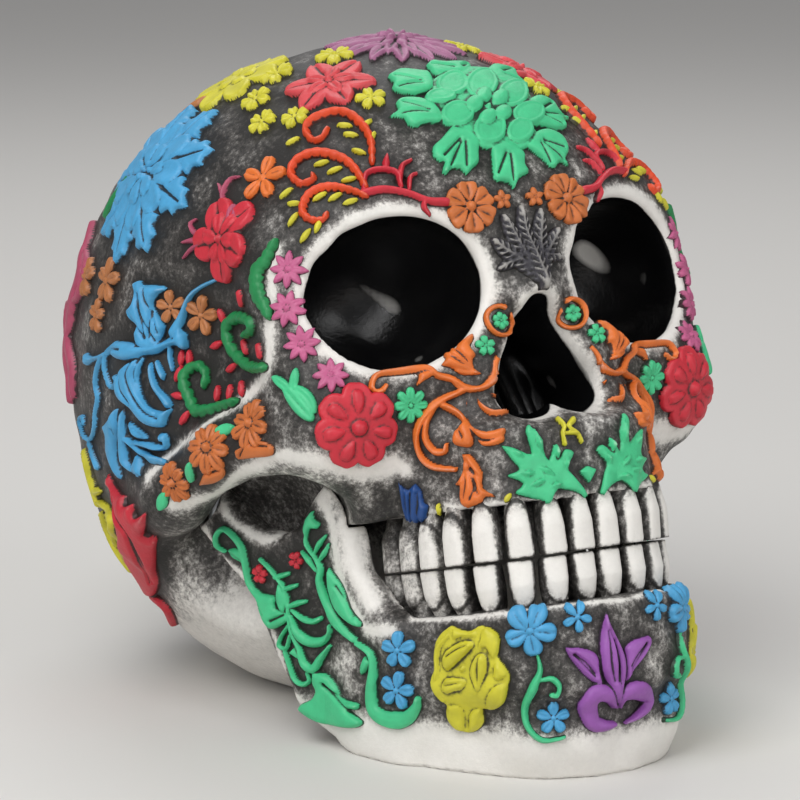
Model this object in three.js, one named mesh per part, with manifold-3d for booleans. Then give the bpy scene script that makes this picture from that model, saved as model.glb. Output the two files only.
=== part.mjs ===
// Resin skull figurine, life size, with a bonded lower jaw and raised flower ornaments.
// Millimetres, +Z up, the face towards -Y. The skull stands on its chin and on the back of its base.
import * as THREE from 'three';
import Module from 'manifold-3d';

const bodies = await Module();
bodies.setup();

// Driving dimensions of the brain case.
const HEAD_TILT = 25; // degrees that the face leans back
const HEAD_Y = 10; // middle of the brain case behind the front-back datum
const HEAD_Z = 79; // middle of the brain case above the table
const CASE_WIDTH = 142;
const CASE_LENGTH = 192;
const CASE_HEIGHT = 162;
const BROW_Y = 20; // middle of the forehead's curve
const BROW_Z = 102;
const BROW_SIZE = [110, 79.5, 68]; // half sizes of the forehead's curve
const BROW_SOFT = 10; // rounding between the forehead and the brain case
const WALL = 6; // thickness of the hollow casting
const HOLLOW = { shorter: 36, lower: 6, back: 24, up: 4 }; // room kept for the face, shift of the hollow

// Driving dimensions of the teeth and the lower jaw.
const BITE_TILT = 14; // degrees that the line of the teeth rises to the front
const BITE_Y = -87.5; // edge of the front teeth
const BITE_Z = 52.5;
const CROWN_UPPER = 13; // height of the upper crowns
const CROWN_LOWER = 11;
const TOOTH_PITCH = 7;
const TEETH_PER_SIDE = 8;
const UPPER_ARCH = { half: 29, depth: 42, front: 4 };
const LOWER_ARCH = { half: 28, depth: 41, front: 5 };
const ARCH_POWER = 3; // squareness of the dental oval
const JAW_HALF = 39; // half width of the jaw's U at its middle line
const RAMUS_HALF = 42; // and of its rising branches
const JAW_DEPTH = 62;
const JAW_OPEN_Y = -25; // where the U opens
const JAW_WALL = 11;
const RAMUS_WALL = 9;
const JAW_SCALE = 7; // added to a half width to turn the U's ratio into millimetres of wall

// Fits and fastenings.
const SEAT_GAP = 0.8; // bond line under an ornament
const SEAT_LEAST = 0.35; // and at its thinnest, where the casting is uneven
const BOND_GAP = 0.8; // bond line between the jaw and the skull
const TOOTH_GAP = 0.3; // bond line between a row of teeth and its gum
const PIN_RADIUS = 2;
const PIN_LENGTH = 14;
const PIN_GAP = 0.25;
const PIN_PLACE = [54.5, -3, 57]; // middle of the pin in the jaw's right or left joint
const POUR_RADIUS = 12; // hole that the casting is filled through
const POUR_Y = 26;
const POUR_DEPTH = 60;
const ROUND_SIDES = 24;
const PIN_SIDES = 12;
const PLUG_GAP = 0.2;
const PLUG_HEIGHT = 4;

const radians = THREE.MathUtils.degToRad;
const caseSide = CASE_WIDTH / 2;
const tiltCos = Math.cos(radians(HEAD_TILT));
const tiltSin = Math.sin(radians(HEAD_TILT));
const biteCos = Math.cos(radians(BITE_TILT));
const biteSin = Math.sin(radians(BITE_TILT));

// Distance fields: negative inside, positive outside, in millimetres.
const join = (a, b, soft) => {
  const h = Math.max(soft - Math.abs(a - b), 0) / soft;
  return Math.min(a, b) - (h * h * soft) / 4;
};
const both = (a, b, soft) => -join(-a, -b, soft);
const carve = (a, b, soft) => both(a, -b, soft);

function ellipsoid([x, f, h], [cx, cf, ch], [rx, rf, rh]) {
  const k0 = Math.hypot((x - cx) / rx, (f - cf) / rf, (h - ch) / rh);
  const k1 = Math.hypot((x - cx) / (rx * rx), (f - cf) / (rf * rf), (h - ch) / (rh * rh));
  return k1 < 1e-9 ? -Math.min(rx, rf, rh) : (k0 * (k0 - 1)) / k1;
}

function limb([x, y, z], [ax, ay, az], [bx, by, bz], ra, rb = ra) {
  const ex = bx - ax, ey = by - ay, ez = bz - az;
  const along = ((x - ax) * ex + (y - ay) * ey + (z - az) * ez) / (ex * ex + ey * ey + ez * ez);
  const t = THREE.MathUtils.clamp(along, 0, 1);
  return Math.hypot(x - ax - t * ex, y - ay - t * ey, z - az - t * ez) - ra - t * (rb - ra);
}

function turned([x, f, h], [cx, cf], degrees) {
  const c = Math.cos(radians(degrees)), s = Math.sin(radians(degrees));
  return [cx + (x - cx) * c - (f - cf) * s, cf + (x - cx) * s + (f - cf) * c, h];
}

function polygon([px, py], points) {
  let d = Infinity;
  let inside = false;
  points.forEach(([ax, ay], i) => {
    const [bx, by] = points[(i + points.length - 1) % points.length];
    const ex = bx - ax, ey = by - ay;
    const t = THREE.MathUtils.clamp(((px - ax) * ex + (py - ay) * ey) / (ex * ex + ey * ey), 0, 1);
    d = Math.min(d, Math.hypot(px - ax - t * ex, py - ay - t * ey));
    if (ay > py !== by > py && px < ax + (ex * (py - ay)) / ey) inside = !inside;
  });
  return inside ? -d : d;
}

// A point of the table frame in the head's frame: side, forward, up, folded to one half.
function inHead(x, y, z) {
  const dy = HEAD_Y - y, dz = z - HEAD_Z;
  return [Math.abs(x), dy * tiltCos + dz * tiltSin, dz * tiltCos - dy * tiltSin];
}

// The brain case: an ellipsoid whose dome is fuller than round towards the back.
const DOME = { fuller: 0.35, from: 60, to: 5 }; // added to the power of 2, and where it sets in
function brainCase(p) {
  const [side, forward, up] = p;
  const round = ellipsoid(p, [0, 0, 0], [caseSide, CASE_LENGTH / 2, CASE_HEIGHT / 2]);
  if (up <= 0) return round;
  const flat = Math.hypot(side / caseSide, (2 * forward) / CASE_LENGTH);
  const rise = (2 * up) / CASE_HEIGHT;
  const power = 2 + DOME.fuller * THREE.MathUtils.smoothstep(DOME.from - forward, 0, DOME.from - DOME.to);
  const reach = (flat ** power + rise ** power) ** (1 / power);
  return round - Math.hypot(side, forward, up) * (1 / reach - 1 / Math.hypot(flat, rise));
}

// A point of the table frame in the bite's frame: side, back from the incisor edge, up from the bite.
function inBite(x, y, z) {
  const dy = y - BITE_Y, dz = z - BITE_Z;
  return [Math.abs(x), dy * biteCos - dz * biteSin, dy * biteSin + dz * biteCos];
}
const fromBite = (x, back, rise) => [
  x, BITE_Y + back * biteCos + rise * biteSin, BITE_Z - back * biteSin + rise * biteCos];

function dentalOval([side, back], { half, depth, front }) {
  const deep = Math.abs(back - front - depth) / depth;
  return (((side / half) ** ARCH_POWER + deep ** ARCH_POWER) ** (1 / ARCH_POWER) - 1) * half;
}

// Hollows cut out of the brain case before the face is set on: middle, half sizes, softness.
const TEMPLE = [[caseSide + 9, 36, 4], [22, 24, 26], 12];
const UNDER_ARCH = [[caseSide - 3, 20, -42], [30, 42, 26], 8];
const THROAT = [[0, 32, -100], [84, 54, 50], 12];
// Masses of the face: a limb has two ends and a radius at each, then its softness.
const UPPER_JAW = [[0, 46, -30], [32, 27, 30], 10];
const CHEEK = [[43, 50, -24], [16, 12, 13], 8];
const ARCH_FRONT = [caseSide - 8, 24, -21]; // where the cheek arch leaves the cheek
const ARCH_WIDEST = [caseSide - 7, 0, -24];
const ARCH_ROOT = [caseSide - 11, -22, -25];
const FACE_LIMBS = [
  { name: 'brow ridge', from: [8, 67, 18.5], to: [44, 56, 22], radii: [8.5, 8.5], soft: 8 },
  { name: 'outer eye rim', from: [52, 49, 20], to: [51, 50, -14], radii: [6.5, 6.5], soft: 8 },
  { name: 'lower eye rim', from: [46, 55, -19], to: [16, 66, -16], radii: [6, 6], soft: 8 },
  { name: 'nose bridge', from: [0, 66, 8], to: [0, 76, -3], radii: [6, 5], soft: 8 },
  { name: 'nose side', from: [10, 66, 2], to: [17, 66, -27], radii: [6, 6], soft: 6 },
  { name: 'arch front', from: [53, 46, -24], to: ARCH_FRONT, radii: [7, 7], soft: 6 },
  { name: 'arch middle', from: ARCH_FRONT, to: ARCH_WIDEST, radii: [7, 8], soft: 4 },
  { name: 'arch root', from: ARCH_WIDEST, to: ARCH_ROOT, radii: [8, 9], soft: 6 },
];
const EYE = { middle: [32, 61, 3.5], size: [20, 26, 18.5], turn: -17, soft: 4 };
const NOSE = { top: [0, 0, -7], foot: [6.5, 0, -24], radii: [4, 7.5], depth: 48, soft: 4 };
const GUM_RISE = 26; // gum above the bite, into the upper jaw
const GUM_FOOT = 6; // foot of the gum above the bite, hidden by the crowns
const GUM_OUT = 2; // gum outside the middle line of the teeth
const GUM_BACK = 66; // how far back the mouth is open above the lower teeth
const GUM_SOFT = 4;
const FACE_SOFT = 8; // rounding where the gum meets the face

// The upper skull: brain case, face and cheek arches, with sockets and nose cut in.
function skullField(x, y, z) {
  const p = inHead(x, y, z);
  let d = brainCase(p);
  const brow = [Math.abs(x), Math.min(y - BROW_Y, 0), Math.max(z - BROW_Z, 0)];
  d = both(d, ellipsoid(brow, [0, 0, 0], BROW_SIZE), BROW_SOFT);
  for (const [middle, size, soft] of [TEMPLE, UNDER_ARCH, THROAT])
    d = carve(d, ellipsoid(p, middle, size), soft);
  for (const [middle, size, soft] of [UPPER_JAW, CHEEK]) d = join(d, ellipsoid(p, middle, size), soft);
  for (const { from, to, radii, soft } of FACE_LIMBS) d = join(d, limb(p, from, to, ...radii), soft);
  const bite = inBite(x, y, z);
  const gumHeight = Math.abs(bite[2] - GUM_RISE / 2 - GUM_FOOT) - GUM_RISE / 2;
  d = join(d, both(dentalOval(bite, UPPER_ARCH) - GUM_OUT, gumHeight, GUM_SOFT), FACE_SOFT);
  d = Math.max(d, -Math.max(bite[2] - CROWN_UPPER, bite[1] - GUM_BACK));
  d = carve(d, ellipsoid(turned(p, EYE.middle, EYE.turn), EYE.middle, EYE.size), EYE.soft);
  const nose = limb([p[0], 0, p[2]], NOSE.top, NOSE.foot, ...NOSE.radii);
  return carve(d, both(nose, NOSE.depth - p[1], NOSE.soft), NOSE.soft);
}

// The lower jaw: a U of even wall with a rising branch on each side, seen from the side as a polygon.
const RAMUS = [[4, 49], [-4, 43], [-17, 31.5], [-23, 20], [-29, 9], [-42, 0], [-62, 0], [-72, 20], [-60, 33],
  [-48, 44], [-43, 58], [-39, 67], [-34, 60], [-30, 53], [-24, 49.5], [-17, 50], [-11, 53], [-4, 58],
  [5, 56]];
const RAMUS_FLARE = { from: -40, slope: 0.3 };
const MOUTH_MARGIN = 7; // clear space outside the middle line of the lower teeth
const CHIN = { from: [7, -85, 10], to: [14, -83, 10], radius: 10 };
const RIDGE_HALF = 5; // half thickness of the bone that holds the lower teeth
const RIDGE_BACK = 40;
const RIDGE_FOOT = 20;
const BODY_BACK = -46;
const UNDERCUT = 6; // field carried below the table so that the foot is cut flat
const JAW_SOFT = 6; // rounding where the parts of the jaw meet
const JAW_EDGE = 4; // rounding of the jaw's free edges

function jawField(x, y, z) {
  const deep = Math.min(y - JAW_OPEN_Y, 0) / JAW_DEPTH;
  const flare = RAMUS_FLARE.slope * Math.max(0, y - RAMUS_FLARE.from);
  const offLine = (half, wide) => Math.abs(Math.hypot(wide / half, deep) - 1) * (half + JAW_SCALE);
  const bite = inBite(x, y, z);
  let d = both(offLine(JAW_HALF, Math.abs(x)) - JAW_WALL / 2, y - BODY_BACK, JAW_SOFT);
  const ridge = Math.abs(dentalOval(bite, LOWER_ARCH)) - RIDGE_HALF;
  d = join(d, both(ridge, Math.max(bite[1] - RIDGE_BACK, RIDGE_FOOT - z), JAW_EDGE), JAW_SOFT);
  d = both(d, Math.max(bite[2] + CROWN_LOWER, -UNDERCUT - z), JAW_EDGE);
  const branch = offLine(RAMUS_HALF, Math.abs(x) - flare) - RAMUS_WALL / 2;
  d = join(d, both(polygon([y, z], RAMUS), branch, JAW_EDGE), JAW_SOFT);
  d = join(d, limb([Math.abs(x), y, z], CHIN.from, CHIN.to, CHIN.radius), JAW_SOFT);
  d = Math.max(d, -Math.max(dentalOval(bite, LOWER_ARCH) - MOUTH_MARGIN, -CROWN_LOWER - bite[2]));
  return Math.max(d, BOND_GAP - skullField(x, y, z));
}

// A closed mesh of the zero surface of a field on a grid whose lines are given for each axis.
// A cell that the surface crosses twice gets a point for each crossing, so the skin never pinches.
const CORNERS = [0, 1, 2, 3, 4, 5, 6, 7].map((n) => [n & 1, (n >> 1) & 1, n >> 2]);
const CELL_EDGES = CORNERS.flatMap((a) => [0, 1, 2].filter((axis) => !a[axis])
  .map((axis) => [a, a.map((v, i) => (i === axis ? 1 : v)), axis]));
const edgeNumber = (corner, axis) =>
  CELL_EDGES.findIndex(([a, , along]) => along === axis && a.join() === corner.join());
const CELL_FACES = [0, 1, 2].flatMap((axis) => [0, 1].map((side) => ({
  edges: [...CELL_EDGES.keys()].filter((n) => CELL_EDGES[n].slice(0, 2).every((end) => end[axis] === side)),
  corners: CORNERS.filter((c) => c[axis] === side),
})));
const RELAX_STEPS = 3;
const RELAX_PULL = 0.4; // how far a point moves to the middle of its neighbours
const RELAX_BACK = 0.7; // and how much of the way back to the surface

// Which crossed edges of a cell belong to the same sheet of the surface.
function sheets(inside, crossed) {
  const sheet = crossed.map((_, n) => n);
  const link = (a, b) => {
    const old = sheet[b];
    sheet.forEach((v, n) => { if (v === old) sheet[n] = sheet[a]; });
  };
  for (const { edges, corners } of CELL_FACES) {
    const cut = edges.filter((n) => crossed[n]);
    if (cut.length === 2) link(...cut);
    if (cut.length < 4) continue;
    for (const corner of corners.filter(inside))
      link(...cut.filter((n) => CELL_EDGES[n].slice(0, 2).some((end) => end.join() === corner.join())));
  }
  return sheet;
}

function polygonise(field, xs, ys, zs) {
  const nx = xs.length, ny = ys.length, nz = zs.length;
  const at = (i, j, k) => (k * ny + j) * nx + i;
  const values = new Float64Array(nx * ny * nz);
  const eachCell = (last, visit) => {
    for (let k = 0; k < nz - last; k += 1)
      for (let j = 0; j < ny - last; j += 1)
        for (let i = 0; i < nx - last; i += 1) visit(i, j, k);
  };
  eachCell(0, (i, j, k) => { values[at(i, j, k)] = field(xs[i], ys[j], zs[k]); });
  const vertexOf = new Map();
  const points = [];
  const boxes = [];
  eachCell(1, (i, j, k) => {
    const value = ([a, b, c]) => values[at(i + a, j + b, k + c)];
    const place = ([a, b, c]) => new THREE.Vector3(xs[i + a], ys[j + b], zs[k + c]);
    const crossed = CELL_EDGES.map(([a, b]) => value(a) < 0 !== value(b) < 0);
    if (!crossed.includes(true)) return;
    const sheet = sheets((corner) => value(corner) < 0, crossed);
    const made = new Map();
    const mine = CELL_EDGES.map(([a, b], n) => {
      if (!crossed[n]) return -1;
      if (!made.has(sheet[n])) {
        made.set(sheet[n], { number: points.push(new THREE.Vector3()) - 1, count: 0 });
        boxes.push([place([0, 0, 0]), place([1, 1, 1])]);
      }
      const vertex = made.get(sheet[n]);
      vertex.count += 1;
      points[vertex.number].add(place(a).lerp(place(b), value(a) / (value(a) - value(b))));
      return vertex.number;
    });
    for (const { number, count } of made.values()) points[number].divideScalar(count);
    vertexOf.set(at(i, j, k), mine);
  });
  const quads = [];
  const rounds = [
    [[0, 1, 1], [0, 0, 1], [0, 0, 0], [0, 1, 0]],
    [[1, 0, 1], [1, 0, 0], [0, 0, 0], [0, 0, 1]],
    [[1, 1, 0], [0, 1, 0], [0, 0, 0], [1, 0, 0]]];
  const numbers = rounds.map((corners, axis) => corners.map((corner) => edgeNumber(corner, axis)));
  eachCell(1, (i, j, k) => {
    const inside = values[at(i, j, k)] < 0;
    const next = [[i + 1, j, k], [i, j + 1, k], [i, j, k + 1]];
    rounds.forEach((corners, axis) => {
      if (inside === values[at(...next[axis])] < 0) return;
      const quad = corners.map(([a, b, c], n) => vertexOf.get(at(i - a, j - b, k - c))[numbers[axis][n]]);
      quads.push(inside ? quad : quad.reverse());
    });
  });
  for (let step = 0; step < RELAX_STEPS; step += 1) {
    const sums = points.map(() => new THREE.Vector4(0, 0, 0, 0));
    for (const quad of quads)
      quad.forEach((v, n) => {
        const next = points[quad[(n + 1) % 4]];
        sums[v].add(new THREE.Vector4(next.x, next.y, next.z, 1));
      });
    sums.forEach((sum, n) => {
      const mean = new THREE.Vector3(sum.x, sum.y, sum.z).divideScalar(sum.w);
      const moved = points[n].clone().lerp(mean, RELAX_PULL);
      const d = field(moved.x, moved.y, moved.z);
      moved.addScaledVector(slope(field, moved), -RELAX_BACK * d).clamp(...boxes[n]);
      points[n] = moved;
    });
  }
  const index = quads.flatMap(([a, b, c, d]) => {
    const firstIsShorter = points[a].distanceTo(points[c]) < points[b].distanceTo(points[d]);
    return firstIsShorter ? [a, b, c, a, c, d] : [a, b, d, b, c, d];
  });
  return solid(points, index);
}

function slope(field, { x, y, z }) {
  const e = 0.2;
  return new THREE.Vector3(
    field(x + e, y, z) - field(x - e, y, z),
    field(x, y + e, z) - field(x, y - e, z),
    field(x, y, z + e) - field(x, y, z - e)).normalize();
}

// Grid lines from low to high whose spacing grows away from a fine stretch.
const GRID_GROWTH = 0.15;
function lines(low, high, fine, coarse, fineFrom, fineTo) {
  const made = [low];
  while (made[made.length - 1] < high) {
    const at = made[made.length - 1];
    made.push(at + Math.min(coarse, fine + GRID_GROWTH * Math.max(fineFrom - at, at - fineTo, 0)));
  }
  return made;
}
const mirrored = (half) => [...half.map((v) => -v).reverse(), ...half];

// Solids: a list of points and triangles, kept closed, and joined or cut as bodies.
function solid(points, index) {
  const vertProperties = new Float32Array(points.flatMap((p) => [p.x, p.y, p.z]));
  const triVerts = new Uint32Array(index);
  return new bodies.Manifold(new bodies.Mesh({ numProp: 3, vertProperties, triVerts }));
}

function fromThree(geometry) {
  const position = geometry.getAttribute('position');
  const known = new Map();
  const points = [];
  const index = [...geometry.index.array].map((v) => {
    const p = new THREE.Vector3().fromBufferAttribute(position, v);
    const key = p.toArray().map((n) => Math.round(n * 1e4)).join();
    if (!known.has(key)) known.set(key, points.push(p) - 1);
    return known.get(key);
  });
  const whole = [];
  for (let n = 0; n < index.length; n += 3) {
    const [a, b, c] = index.slice(n, n + 3);
    if (a !== b && b !== c && c !== a) whole.push(a, b, c);
  }
  return solid(points, whole);
}

// A closed skin over rings of points, with a point at each end.
function loft(rings, firstTip, lastTip) {
  const around = rings[0].length;
  const points = [firstTip, ...rings.flat(), lastTip];
  const index = [];
  for (let n = 0; n < around; n += 1) {
    const m = (n + 1) % around;
    index.push(0, 1 + n, 1 + m);
    for (let r = 0; r + 1 < rings.length; r += 1) {
      const a = 1 + r * around + n, b = 1 + r * around + m;
      index.push(a, a + around, b, b, a + around, b + around);
    }
    const base = 1 + (rings.length - 1) * around;
    index.push(points.length - 1, base + m, base + n);
  }
  let volume = 0;
  for (let n = 0; n < index.length; n += 3) {
    const [a, b, c] = index.slice(n, n + 3).map((v) => points[v]);
    volume += a.dot(b.clone().cross(c));
  }
  return solid(points, volume > 0 ? index : index.reverse());
}
const joined = (pieces) => pieces.reduce((a, b) => a.add(b));

const tableCut = fromThree(new THREE.BoxGeometry(400, 400, 40).translate(0, 0, -20));
const round = (radius, height, sides, [x, y, z]) => {
  const drum = new THREE.CylinderGeometry(radius, radius, height, sides);
  return fromThree(drum.rotateX(Math.PI / 2).translate(x, y, z));
};
const SIDES = [['right', -1], ['left', 1]]; // the figure's own right and left
const pinAt = (side, radius, length) =>
  round(radius, length, PIN_SIDES, [side * PIN_PLACE[0], PIN_PLACE[1], PIN_PLACE[2]]);

// Grids: lowest and highest line, fine and coarse spacing, and the stretch that is fine.
const GRID_MARGIN = { side: 13, back: 21, top: 9, below: 5 }; // from the brain case to the outer lines
const GRID_FLOOR = -12; // lowest line where the brain case leaves it free
const caseBack = HEAD_Y + Math.hypot((tiltCos * CASE_LENGTH) / 2, (tiltSin * CASE_HEIGHT) / 2);
const caseTop = HEAD_Z + Math.hypot((tiltCos * CASE_HEIGHT) / 2, (tiltSin * CASE_LENGTH) / 2);
const faceX = mirrored(lines(3, caseSide + GRID_MARGIN.side, 6, 9, 0, 58));
const faceY = lines(-108, caseBack + GRID_MARGIN.back, 5.6, 13, -100, -34);
const caseBottom = 2 * HEAD_Z - caseTop;
const gridBottom = Math.min(GRID_FLOOR, caseBottom - GRID_MARGIN.below);
const faceZ = lines(gridBottom, caseTop + GRID_MARGIN.top, 6, 11, 52, 116);
const grown = (field) => (x, y, z) => field(x, y, z) - SEAT_LEAST;
let shell = polygonise(skullField, faceX, faceY, faceZ).subtract(tableCut);
let shellKeepOut = polygonise(grown(skullField), faceX, faceY, faceZ);
const cavity = new THREE.SphereGeometry(1, 20, 14)
  .scale(caseSide - WALL, CASE_LENGTH / 2 - HOLLOW.shorter, CASE_HEIGHT / 2 - WALL - HOLLOW.lower)
  .translate(0, HOLLOW.back, HOLLOW.up).rotateX(-radians(HEAD_TILT)).translate(0, HEAD_Y, HEAD_Z);
shell = shell.subtract(fromThree(cavity));
shell = shell.subtract(round(POUR_RADIUS, POUR_DEPTH, ROUND_SIDES, [0, POUR_Y, 0]));
const jawGrid = [
  mirrored(lines(2.6, 72, 5.2, 5.2, 0, 72)),
  lines(-110, 20, 5.6, 5.6, -110, 20),
  lines(GRID_FLOOR, 84, 5.4, 5.4, 0, 80)];
let jaw = polygonise(jawField, ...jawGrid).subtract(tableCut);
let jawKeepOut = polygonise(grown(jawField), ...jawGrid);
for (const [, side] of SIDES) {
  shell = shell.subtract(pinAt(side, PIN_RADIUS + PIN_GAP, PIN_LENGTH + 2 * PIN_GAP));
  jaw = jaw.subtract(pinAt(side, PIN_RADIUS + PIN_GAP, PIN_LENGTH + 2 * PIN_GAP));
}

// Rows of teeth: crowns lofted from the gum to the bite, set side by side along the dental oval.
const CROWN_RINGS = [ // part of the crown from the gum, width, thickness, lean outwards
  [0, 0.84, 6.4, 0], [0.5, 1.06, 7.2, 1.2], [1, 0.94, 4, 2.6]];
const TOOTH_SIDES = 6;
const TOOTH_FULL = 0.6; // half size of a crown's corners against its pitch, so that neighbours join
const WALK_STEP = 0.001; // step along the dental oval, in radians

function toothRow(arch, gum, edge) {
  const crowns = [];
  const spot = (angle) => new THREE.Vector2(
    arch.half * Math.sin(angle) ** (2 / ARCH_POWER),
    arch.front + arch.depth * (1 - Math.cos(angle) ** (2 / ARCH_POWER)));
  let angle = 0, walked = 0;
  for (let n = 0; n < TEETH_PER_SIDE; n += 1) {
    for (; walked < (n + 0.5) * TOOTH_PITCH; angle += WALK_STEP)
      walked += spot(angle).distanceTo(spot(angle + WALK_STEP));
    const middle = spot(angle);
    const along = spot(angle + WALK_STEP).sub(middle).normalize();
    for (const [, side] of SIDES) {
      const ring = ([part, wide, thick, lean]) => [...Array(TOOTH_SIDES).keys()].map((k) => {
        const a = (k + 0.5) * ((2 * Math.PI) / TOOTH_SIDES);
        const w = Math.cos(a) * TOOTH_FULL * wide * TOOTH_PITCH, t = Math.sin(a) * TOOTH_FULL * thick - lean;
        const x = middle.x + along.x * w - along.y * t;
        const back = middle.y + along.y * w + along.x * t;
        return new THREE.Vector3(...fromBite(side * x, back, gum + part * (edge - gum)));
      });
      const rings = CROWN_RINGS.map(ring);
      const sum = (points) => points.reduce((s, p) => s.add(p), new THREE.Vector3());
      const centre = (points) => sum(points).divideScalar(TOOTH_SIDES);
      crowns.push(loft(rings, centre(rings[0]), centre(rings[rings.length - 1])));
    }
  }
  return joined(crowns);
}
const upperTeeth = toothRow(UPPER_ARCH, CROWN_UPPER - TOOTH_GAP, TOOTH_GAP);
const lowerTeeth = toothRow(LOWER_ARCH, TOOTH_GAP - CROWN_LOWER, -TOOTH_GAP);

function finished(name, body, colour, rough = 0.6) {
  const { vertProperties, triVerts } = body.getMesh();
  const geometry = new THREE.BufferGeometry()
    .setAttribute('position', new THREE.BufferAttribute(new Float32Array(vertProperties), 3))
    .setIndex([...triVerts]);
  const made = new THREE.Mesh(geometry, new THREE.MeshStandardMaterial({ color: colour, roughness: rough }));
  made.name = name;
  return made;
}

// A place on a surface: gives the point so far to the front, so far up and so far off the surface.
const SLIDES = 8;
const LEAST_SLOPE = 0.4; // keeps a slide from overshooting where the surface turns away
const STEEP = 0.85; // upward part of a normal from which the front-back line stands in for up
function seat(field, near) {
  const slide = (p, along) => {
    for (let n = 0; n < SLIDES; n += 1) {
      const facing = Math.max(slope(field, p).dot(along), LEAST_SLOPE);
      p.addScaledVector(along, -field(p.x, p.y, p.z) / facing);
    }
    return p;
  };
  const start = new THREE.Vector3(...near);
  const out = slope(field, start);
  const at = slide(start, out);
  const up = Math.abs(out.z) > STEEP ? new THREE.Vector3(0, 1, 0) : new THREE.Vector3(0, 0, 1);
  const right = up.cross(out).normalize();
  const rise = out.clone().cross(right);
  return (a, b, lift) => {
    const p = slide(at.clone().addScaledVector(right, a).addScaledVector(rise, b), out);
    return p.addScaledVector(slope(field, p), lift);
  };
}

// A flower head: petals round a raised middle, thick at the rim, seated on its bond line.
const PETAL_SHAPE = [[0, 0], [0.35, 1], [0.65, 1]]; // part of a petal's turn, part of its notch
const WIDE_FLOWER = 14; // radius from which a flower needs a ring more to follow the surface
const CROWN_PART = 1.15; // height of a flower's middle, and how much of it is lost at the rim
const RIM_FALL = 0.65;
function flower(place, [petals, radius, height, notch = 0.3], shape = PETAL_SHAPE) {
  const rim = [...Array(petals).keys()].flatMap((n) => shape.map(([part, full]) => {
    const turn = ((n + part) * 2 * Math.PI) / petals + Math.PI / 2;
    const reach = radius * (1 - notch + notch * full);
    return [reach * Math.cos(turn), reach * Math.sin(turn)];
  }));
  const ring = (part, lift) => rim.map(([a, b]) => place(a * part, b * part, lift));
  const steps = radius > WIDE_FLOWER ? [0.35, 0.7, 1] : [0.45, 1];
  const top = steps.map((part) => ring(part, SEAT_GAP + height * (CROWN_PART - RIM_FALL * part)));
  const under = steps.slice(1).reverse().map((part) => ring(part, SEAT_GAP));
  return loft([...top, ...under], place(0, 0, SEAT_GAP + height * CROWN_PART), place(0, 0, SEAT_GAP));
}

// A scroll or leaf: a swelling ridge along a line whose bend grows towards its tip.
const STROKE_STEP = 6;
function stroke(place, [a, b, heading, length, bend, width, height, leaf = 0]) {
  const count = Math.ceil(length / STROKE_STEP) + 1;
  const rings = [];
  const point = new THREE.Vector2(a, b);
  const tip = (lift) => place(point.x, point.y, SEAT_GAP + lift);
  const first = tip(height * 0.3);
  for (let n = 0; n <= count; n += 1) {
    const t = n / count;
    const turn = radians(heading + bend * t * t);
    const side = new THREE.Vector2(-Math.sin(turn), Math.cos(turn));
    const swell = leaf ? Math.sin(Math.PI * (0.15 + 0.8 * t)) : 1 - 0.65 * t;
    const tall = height * (0.55 + 0.45 * swell);
    const wide = width * swell;
    rings.push([[0.5, 0], [0, tall], [-0.5, 0]].map(([part, lift]) =>
      place(point.x + side.x * part * wide, point.y + side.y * part * wide, SEAT_GAP + lift)));
    point.addScaledVector(new THREE.Vector2(Math.cos(turn), Math.sin(turn)), length / count);
  }
  const ending = radians(heading + bend);
  point.addScaledVector(new THREE.Vector2(Math.cos(ending), Math.sin(ending)), -length / count / 2);
  return loft(rings, first, tip(height * 0.2));
}

// Ornaments. Flowers: petals, radius, height, notch. Strokes: start to the front and up, heading,
// length, bend, width, height, leaf or not. Places are on the figure's right or on its middle line.
const CORAL = 0xd9464a, SEA_GREEN = 0x45c98a, SKY = 0x4aa3d8, CRIMSON = 0xcf2a3c, ORANGE = 0xe8752a;
const FLAME = 0xe04a22, YELLOW = 0xd9cf2f, MAUVE = 0xb0708f, LEAF = 0x23904f, PURPLE = 0x9a52a8;
const CHARCOAL = 0x3a3836, MAGENTA = 0xb0506f;
const MIDDLE = [
  { name: 'forehead_flower', at: [0, -37, 151], colour: SEA_GREEN, flowers: [[8, 22, 3.4]] },
  { name: 'crown_flower', at: [0, 2, 161], colour: MAUVE, flowers: [[10, 17, 3]] },
  { name: 'nape_flower', at: [0, 100, 62], colour: YELLOW, flowers: [[8, 21, 3]] },
  { name: 'brow_fern', at: [0, -57, 121], colour: CHARCOAL, strokes: [[0, -6, 90, 16, 0, 4, 1.8],
    [0, -5, 30, 10, 20, 3.6, 1.6, 1], [0, -5, 150, 10, -20, 3.6, 1.6, 1], [0, 0, 45, 9, 20, 3.4, 1.6, 1],
    [0, 0, 135, 9, -20, 3.4, 1.6, 1]] },
  { name: 'chin_orchid', on: jawField, at: [0, -97, 25], colour: PURPLE, strokes: [
    [0, -4, 90, 18, 0, 8, 2.4, 1], [0, -4, 50, 16, 10, 7, 2.2, 1], [0, -4, 130, 16, -10, 7, 2.2, 1],
    [0, -3, 270, 11, 0, 5, 2], [0, -8, 215, 14, 190, 4, 2], [0, -8, 325, 14, -190, 4, 2]] },
];
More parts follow.
